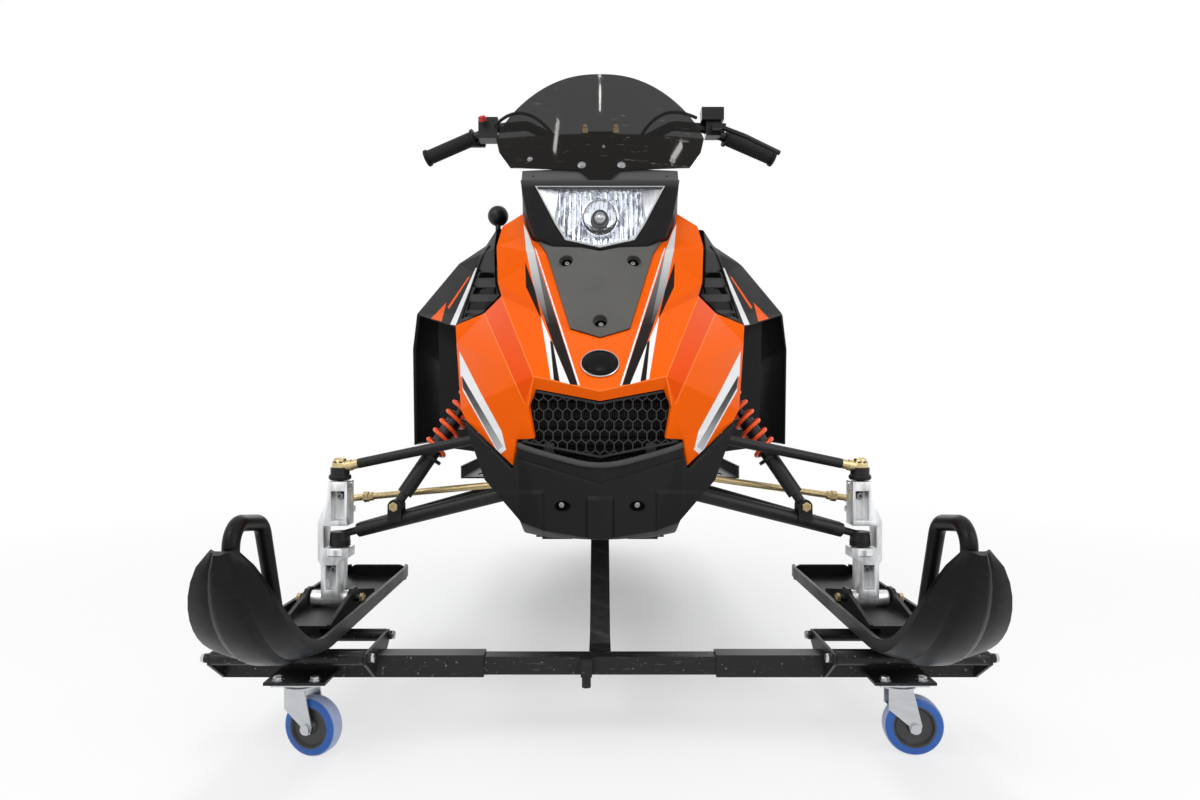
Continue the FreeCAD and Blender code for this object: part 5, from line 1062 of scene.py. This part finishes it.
class SNOWMOBILE_OT_boots(bpy.types.Operator):
    """Bellows on the ball joints and plated collars on the rod ends"""

    bl_idname = "snowmobile.boots"
    bl_label = "Ball joint boots"

    def execute(self, context):
        for side, sign in SIDES:
            x, y = sign * KINGPIN_X, KINGPIN_Y
            lathe("lower_boot_" + side, *BOOT, [(19.2, 0), (20.2, 1), (18.8, 3), (20.4, 5), (18.8, 7.2),
                  (20.2, 9), (19.4, 10.2)], mm(x, y, 326.2), smooth=50)
            lathe("upper_boot_" + side, *BOOT, [(18.4, 0), (20.5, 1.6), (21.5, 5), (20.5, 8.8), (18.4, 10.5)],
                  mm(x, y, 453.3), smooth=60)
            cap = turned([(14.2, 0), (15.6, 3), (16.2, 10), (15.6, 19), (14.2, 23.5), (11.8, 26.2), (11.8, 29),
                          (7, 30.5)], mm(x, y, 465.2), UP, 8)
            along = Vector((-sign * 0.3367, -0.06, 0.071)).normalized()
            shank = turned([(10.6, 0), (10.6, 14), (9.2, 15.2), (9.2, 28)], mm(x, y, 477) + along * 0.0125, along, 24)
            settle(joined([cap, shank]), "rod_end_" + side, *GILT, smooth=40)
            lathe("lower_collar_" + side, *GILT, [(17.6, 0), (17.6, 3.6)], mm(x, y, 336.4), smooth=40)
        return {"FINISHED"}


class SNOWMOBILE_OT_hoses(bpy.types.Operator):
    """Brake hose and throttle cable from the bar down into the nacelle, and the stop switch"""

    bl_idname = "snowmobile.hoses"
    bl_label = "Hoses and switch"

    def execute(self, context):
        for name, *points in (
                ("brake_hose", (215, -640, 1236), (170, -668, 1246), (110, -672, 1222), (70, -664, 1150),
                 (55, -672, 1062)),
                ("throttle_cable", (-235, -630, 1222), (-200, -660, 1246), (-130, -672, 1226), (-75, -662, 1150),
                 (-60, -670, 1062))):
            tube = hose([mm(*point) for point in points], 3.6)
            settle(tube, name, "boot rubber", "control_black", None, 60)
            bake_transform(tube)
        lathe("stop_switch", "switch red", "control_black", [(8, 0), (8, 8), (6.8, 10.5), (3, 11.2)],
              mm(-262, -632, 1232), (-0.15, -0.55, 0.82), 24, "steering", 40)
        return {"FINISHED"}


class SNOWMOBILE_OT_liners(bpy.types.Operator):
    """The cooler behind the grille, dark liners behind the mouldings' gaps and the windshield's seat"""

    bl_idname = "snowmobile.liners"
    bl_label = "Liners and cooler"

    def execute(self, context):
        core = block((276, 12, 130), mm(0, -1008, 562))
        settle(rounded(core, 2, 2), "cooler_core", "core metal", "engine_iron")
        # Each corner is the place where it is seen on the decal sheet's right half, and its y.
        bay = ((438, 322, -0.63), (478, 322, -0.66), (478, 452, -0.66), (441, 447, -0.63))
        seam = ((462, 398, -0.905), (484, 398, -0.915), (522, 470, -0.985), (503, 474, -0.975))
        for side, sign in SIDES:
            for name, corners, wall in (("bay_liner_", bay, 3), ("seam_liner_", seam, 2)):
                spots = [EYE + sight(SHEET[0] - sign * (u - SHEET[0]), v) * (y - EYE.y) for u, v, y in corners]
                settle(rounded(plate(spots, wall, BACK), 0.5, 1), name + side, *BLACK)
        seat = block((270, 16, 12), mm(0, -852, 1044))
        settle(rounded(seat, 3, 3), "shield_seat", *BLACK)
        return {"FINISHED"}


class SNOWMOBILE_OT_seat(bpy.types.Operator):
    """The foam seat with its stretched vinyl cover and sewn seams"""

    bl_idname = "snowmobile.seat"
    bl_label = "Seat"

    def execute(self, context):
        piece = rounded(mesh_copy("seat"), 30, 4, 20)
        modified(piece, "REMESH", mode="VOXEL", voxel_size=0.011)
        modified(piece, "SMOOTH", factor=0.5, iterations=12)
        modified(piece, "SUBSURF", levels=1, render_levels=1)
        depth = sizes().seam
        # In metres: two seams run across and one along each upper edge, and none reaches the seat's foot.
        cross_y, cross_width = (0.12, 0.5), 0.012
        edge_x, edge_width, edge_foot, foot = 0.118, 0.009, 0.86, 0.66
        for vertex in piece.data.vertices:
            spot = vertex.co
            seam = max(1 - abs(spot.y - y) / cross_width for y in cross_y)
            if spot.z > edge_foot:
                seam = max(seam, 1 - abs(abs(spot.x) - edge_x) / edge_width)
            if seam > 0 and spot.z > foot:
                vertex.co = spot - vertex.normal * depth * seam
        settle(piece, "seat_cover", "seat vinyl", "seat_cover", smooth=80)
        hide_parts("seat")
        return {"FINISHED"}


class SNOWMOBILE_OT_stage(bpy.types.Operator):
    """Pale floor, soft lights, white surroundings and the camera"""

    bl_idname = "snowmobile.stage"
    bl_label = "Stage"

    @staticmethod
    def glint(name, u, v, size):
        """A small lamp whose image is seen at a place on the windshield."""
        spot, normal = sighted(u, v, "windshield")
        ray = (spot - EYE).normalized()
        place = spot + (ray - 2 * ray.dot(normal) * normal) * GLINT_AWAY
        return name, place, spot, size, GLINT_POWER * size[0] * size[1]

    def execute(self, context):
        only()
        bpy.ops.mesh.primitive_plane_add(size=40, location=(0, 0, 0))
        floor = bpy.context.object
        floor.name = "studio_floor"
        finish = Finish("studio floor")
        finish.fix(roughness=0.55, base_color="floor")
        direct, gloss, through = finish.rays("Camera", "Glossy", "Transmission")
        away = finish.node("VectorMath", {0: finish.place()}, output="Value", operation="LENGTH")
        share = finish.level(away, 0.2, 1.1, 0.3, 0.68) + finish.level(away, 1.1, 3.0, 0, 0.32)
        glow = finish.node("Emission", {"Color": 1, "Strength": 1.0})
        seen = (direct + gloss + through).clamped() * share
        finish.feed(finish.output.inputs[0], finish.node("MixShader", {0: seen, 1: finish.shader, 2: glow}))
        floor.data.materials.append(finish.material)

        context.scene.world = bpy.data.worlds.new("studio")
        graph = Graph(context.scene.world)
        direct, gloss, through = graph.rays("Camera", "Glossy", "Transmission")
        shown = graph.node("Background", {0: 1, 1: 1.0})
        fill = graph.node("Background", {0: (0.95, 0.97, 1), 1: 0.5})
        mix = graph.node("MixShader", {0: direct.most(through).most(gloss), 1: fill, 2: shown})
        graph.node("OutputWorld", {0: mix})

        for name, place, aim, size, power in (
                ("key", (-2.2, -3.2, 3.4), (0, -0.6, 0.6), (2.4, 1.6), 52),
                ("fill", (2.6, -3.0, 2.2), (0, -0.6, 0.6), (2.0, 2.0), 32),
                ("top", (0, -0.6, 4.2), (0, -0.5, 0.6), (1.0, 4.0), 48),
                ("short_tube", (0, -1.58, 3.6), (0, -1.58, 0), (0.03, 0.08), 0.45),
                ("long_tube", (0, -1.72, 3.6), (0, -1.72, 0), (0.03, 0.13), 0.75),
                ("back", (0, 3.6, 2.6), (0, 0.4, 0.6), (3.5, 1.5), 30),
                self.glint("left_glint", 557, 136, (0.05, 0.16)), self.glint("right_glint", 677, 152, (0.2, 0.04))):
            lamp = assigned(bpy.data.lights.new(name, "AREA"), shape="RECTANGLE", size=size[0], size_y=size[1],
                            energy=power)
            turn = (Vector(aim) - Vector(place)).to_track_quat("-Z", "Y").to_euler()
            assigned(placed(name, lamp), location=place, rotation_euler=turn, visible_glossy=name != "top")

        lens = assigned(bpy.data.cameras.new("camera"), sensor_width=36, clip_end=60)
        lens.lens = lens.sensor_width * REACH / (2 * SHEET[0])
        camera = placed("camera", lens)
        context.scene.camera = assigned(camera, location=EYE, rotation_euler=(math.radians(90), 0, 0))
        context.scene.view_settings.view_transform = "Standard"
        return {"FINISHED"}


OPERATORS = (
    SNOWMOBILE_OT_paint, SNOWMOBILE_OT_mouldings, SNOWMOBILE_OT_emblem, SNOWMOBILE_OT_screws, SNOWMOBILE_OT_bolts,
    SNOWMOBILE_OT_headlamp, SNOWMOBILE_OT_louvres, SNOWMOBILE_OT_belly_lip, SNOWMOBILE_OT_boots,
    SNOWMOBILE_OT_hoses, SNOWMOBILE_OT_liners, SNOWMOBILE_OT_seat, SNOWMOBILE_OT_stage,
)


class SNOWMOBILE_PT_panel(bpy.types.Panel):
    """The snowmobile's pieces, colours and sizes"""

    bl_label = "Snowmobile"
    bl_idname = "SNOWMOBILE_PT_panel"
    bl_space_type = "VIEW_3D"
    bl_region_type = "UI"
    bl_category = "Snowmobile"

    def draw(self, context):
        for kind in OPERATORS:
            self.layout.operator(kind.bl_idname)
        for group in (context.scene.snowmobile_colours, context.scene.snowmobile_sizes):
            for name in group.__annotations__:
                self.layout.prop(group, name)


CLASSES = (SnowmobileColours, SnowmobileSizes) + OPERATORS + (SNOWMOBILE_PT_panel,)


def register():
    for kind in CLASSES:
        bpy.utils.register_class(kind)
    bpy.types.Scene.snowmobile_colours = PointerProperty(type=SnowmobileColours)
    bpy.types.Scene.snowmobile_sizes = PointerProperty(type=SnowmobileSizes)


def unregister():
    del bpy.types.Scene.snowmobile_sizes
    del bpy.types.Scene.snowmobile_colours
    for kind in reversed(CLASSES):
        bpy.utils.unregister_class(kind)


def main():
    register()
    for kind in OPERATORS:
        group, name = kind.bl_idname.split(".")
        getattr(getattr(bpy.ops, group), name)()
    only()


if __name__ == "__main__":
    main()
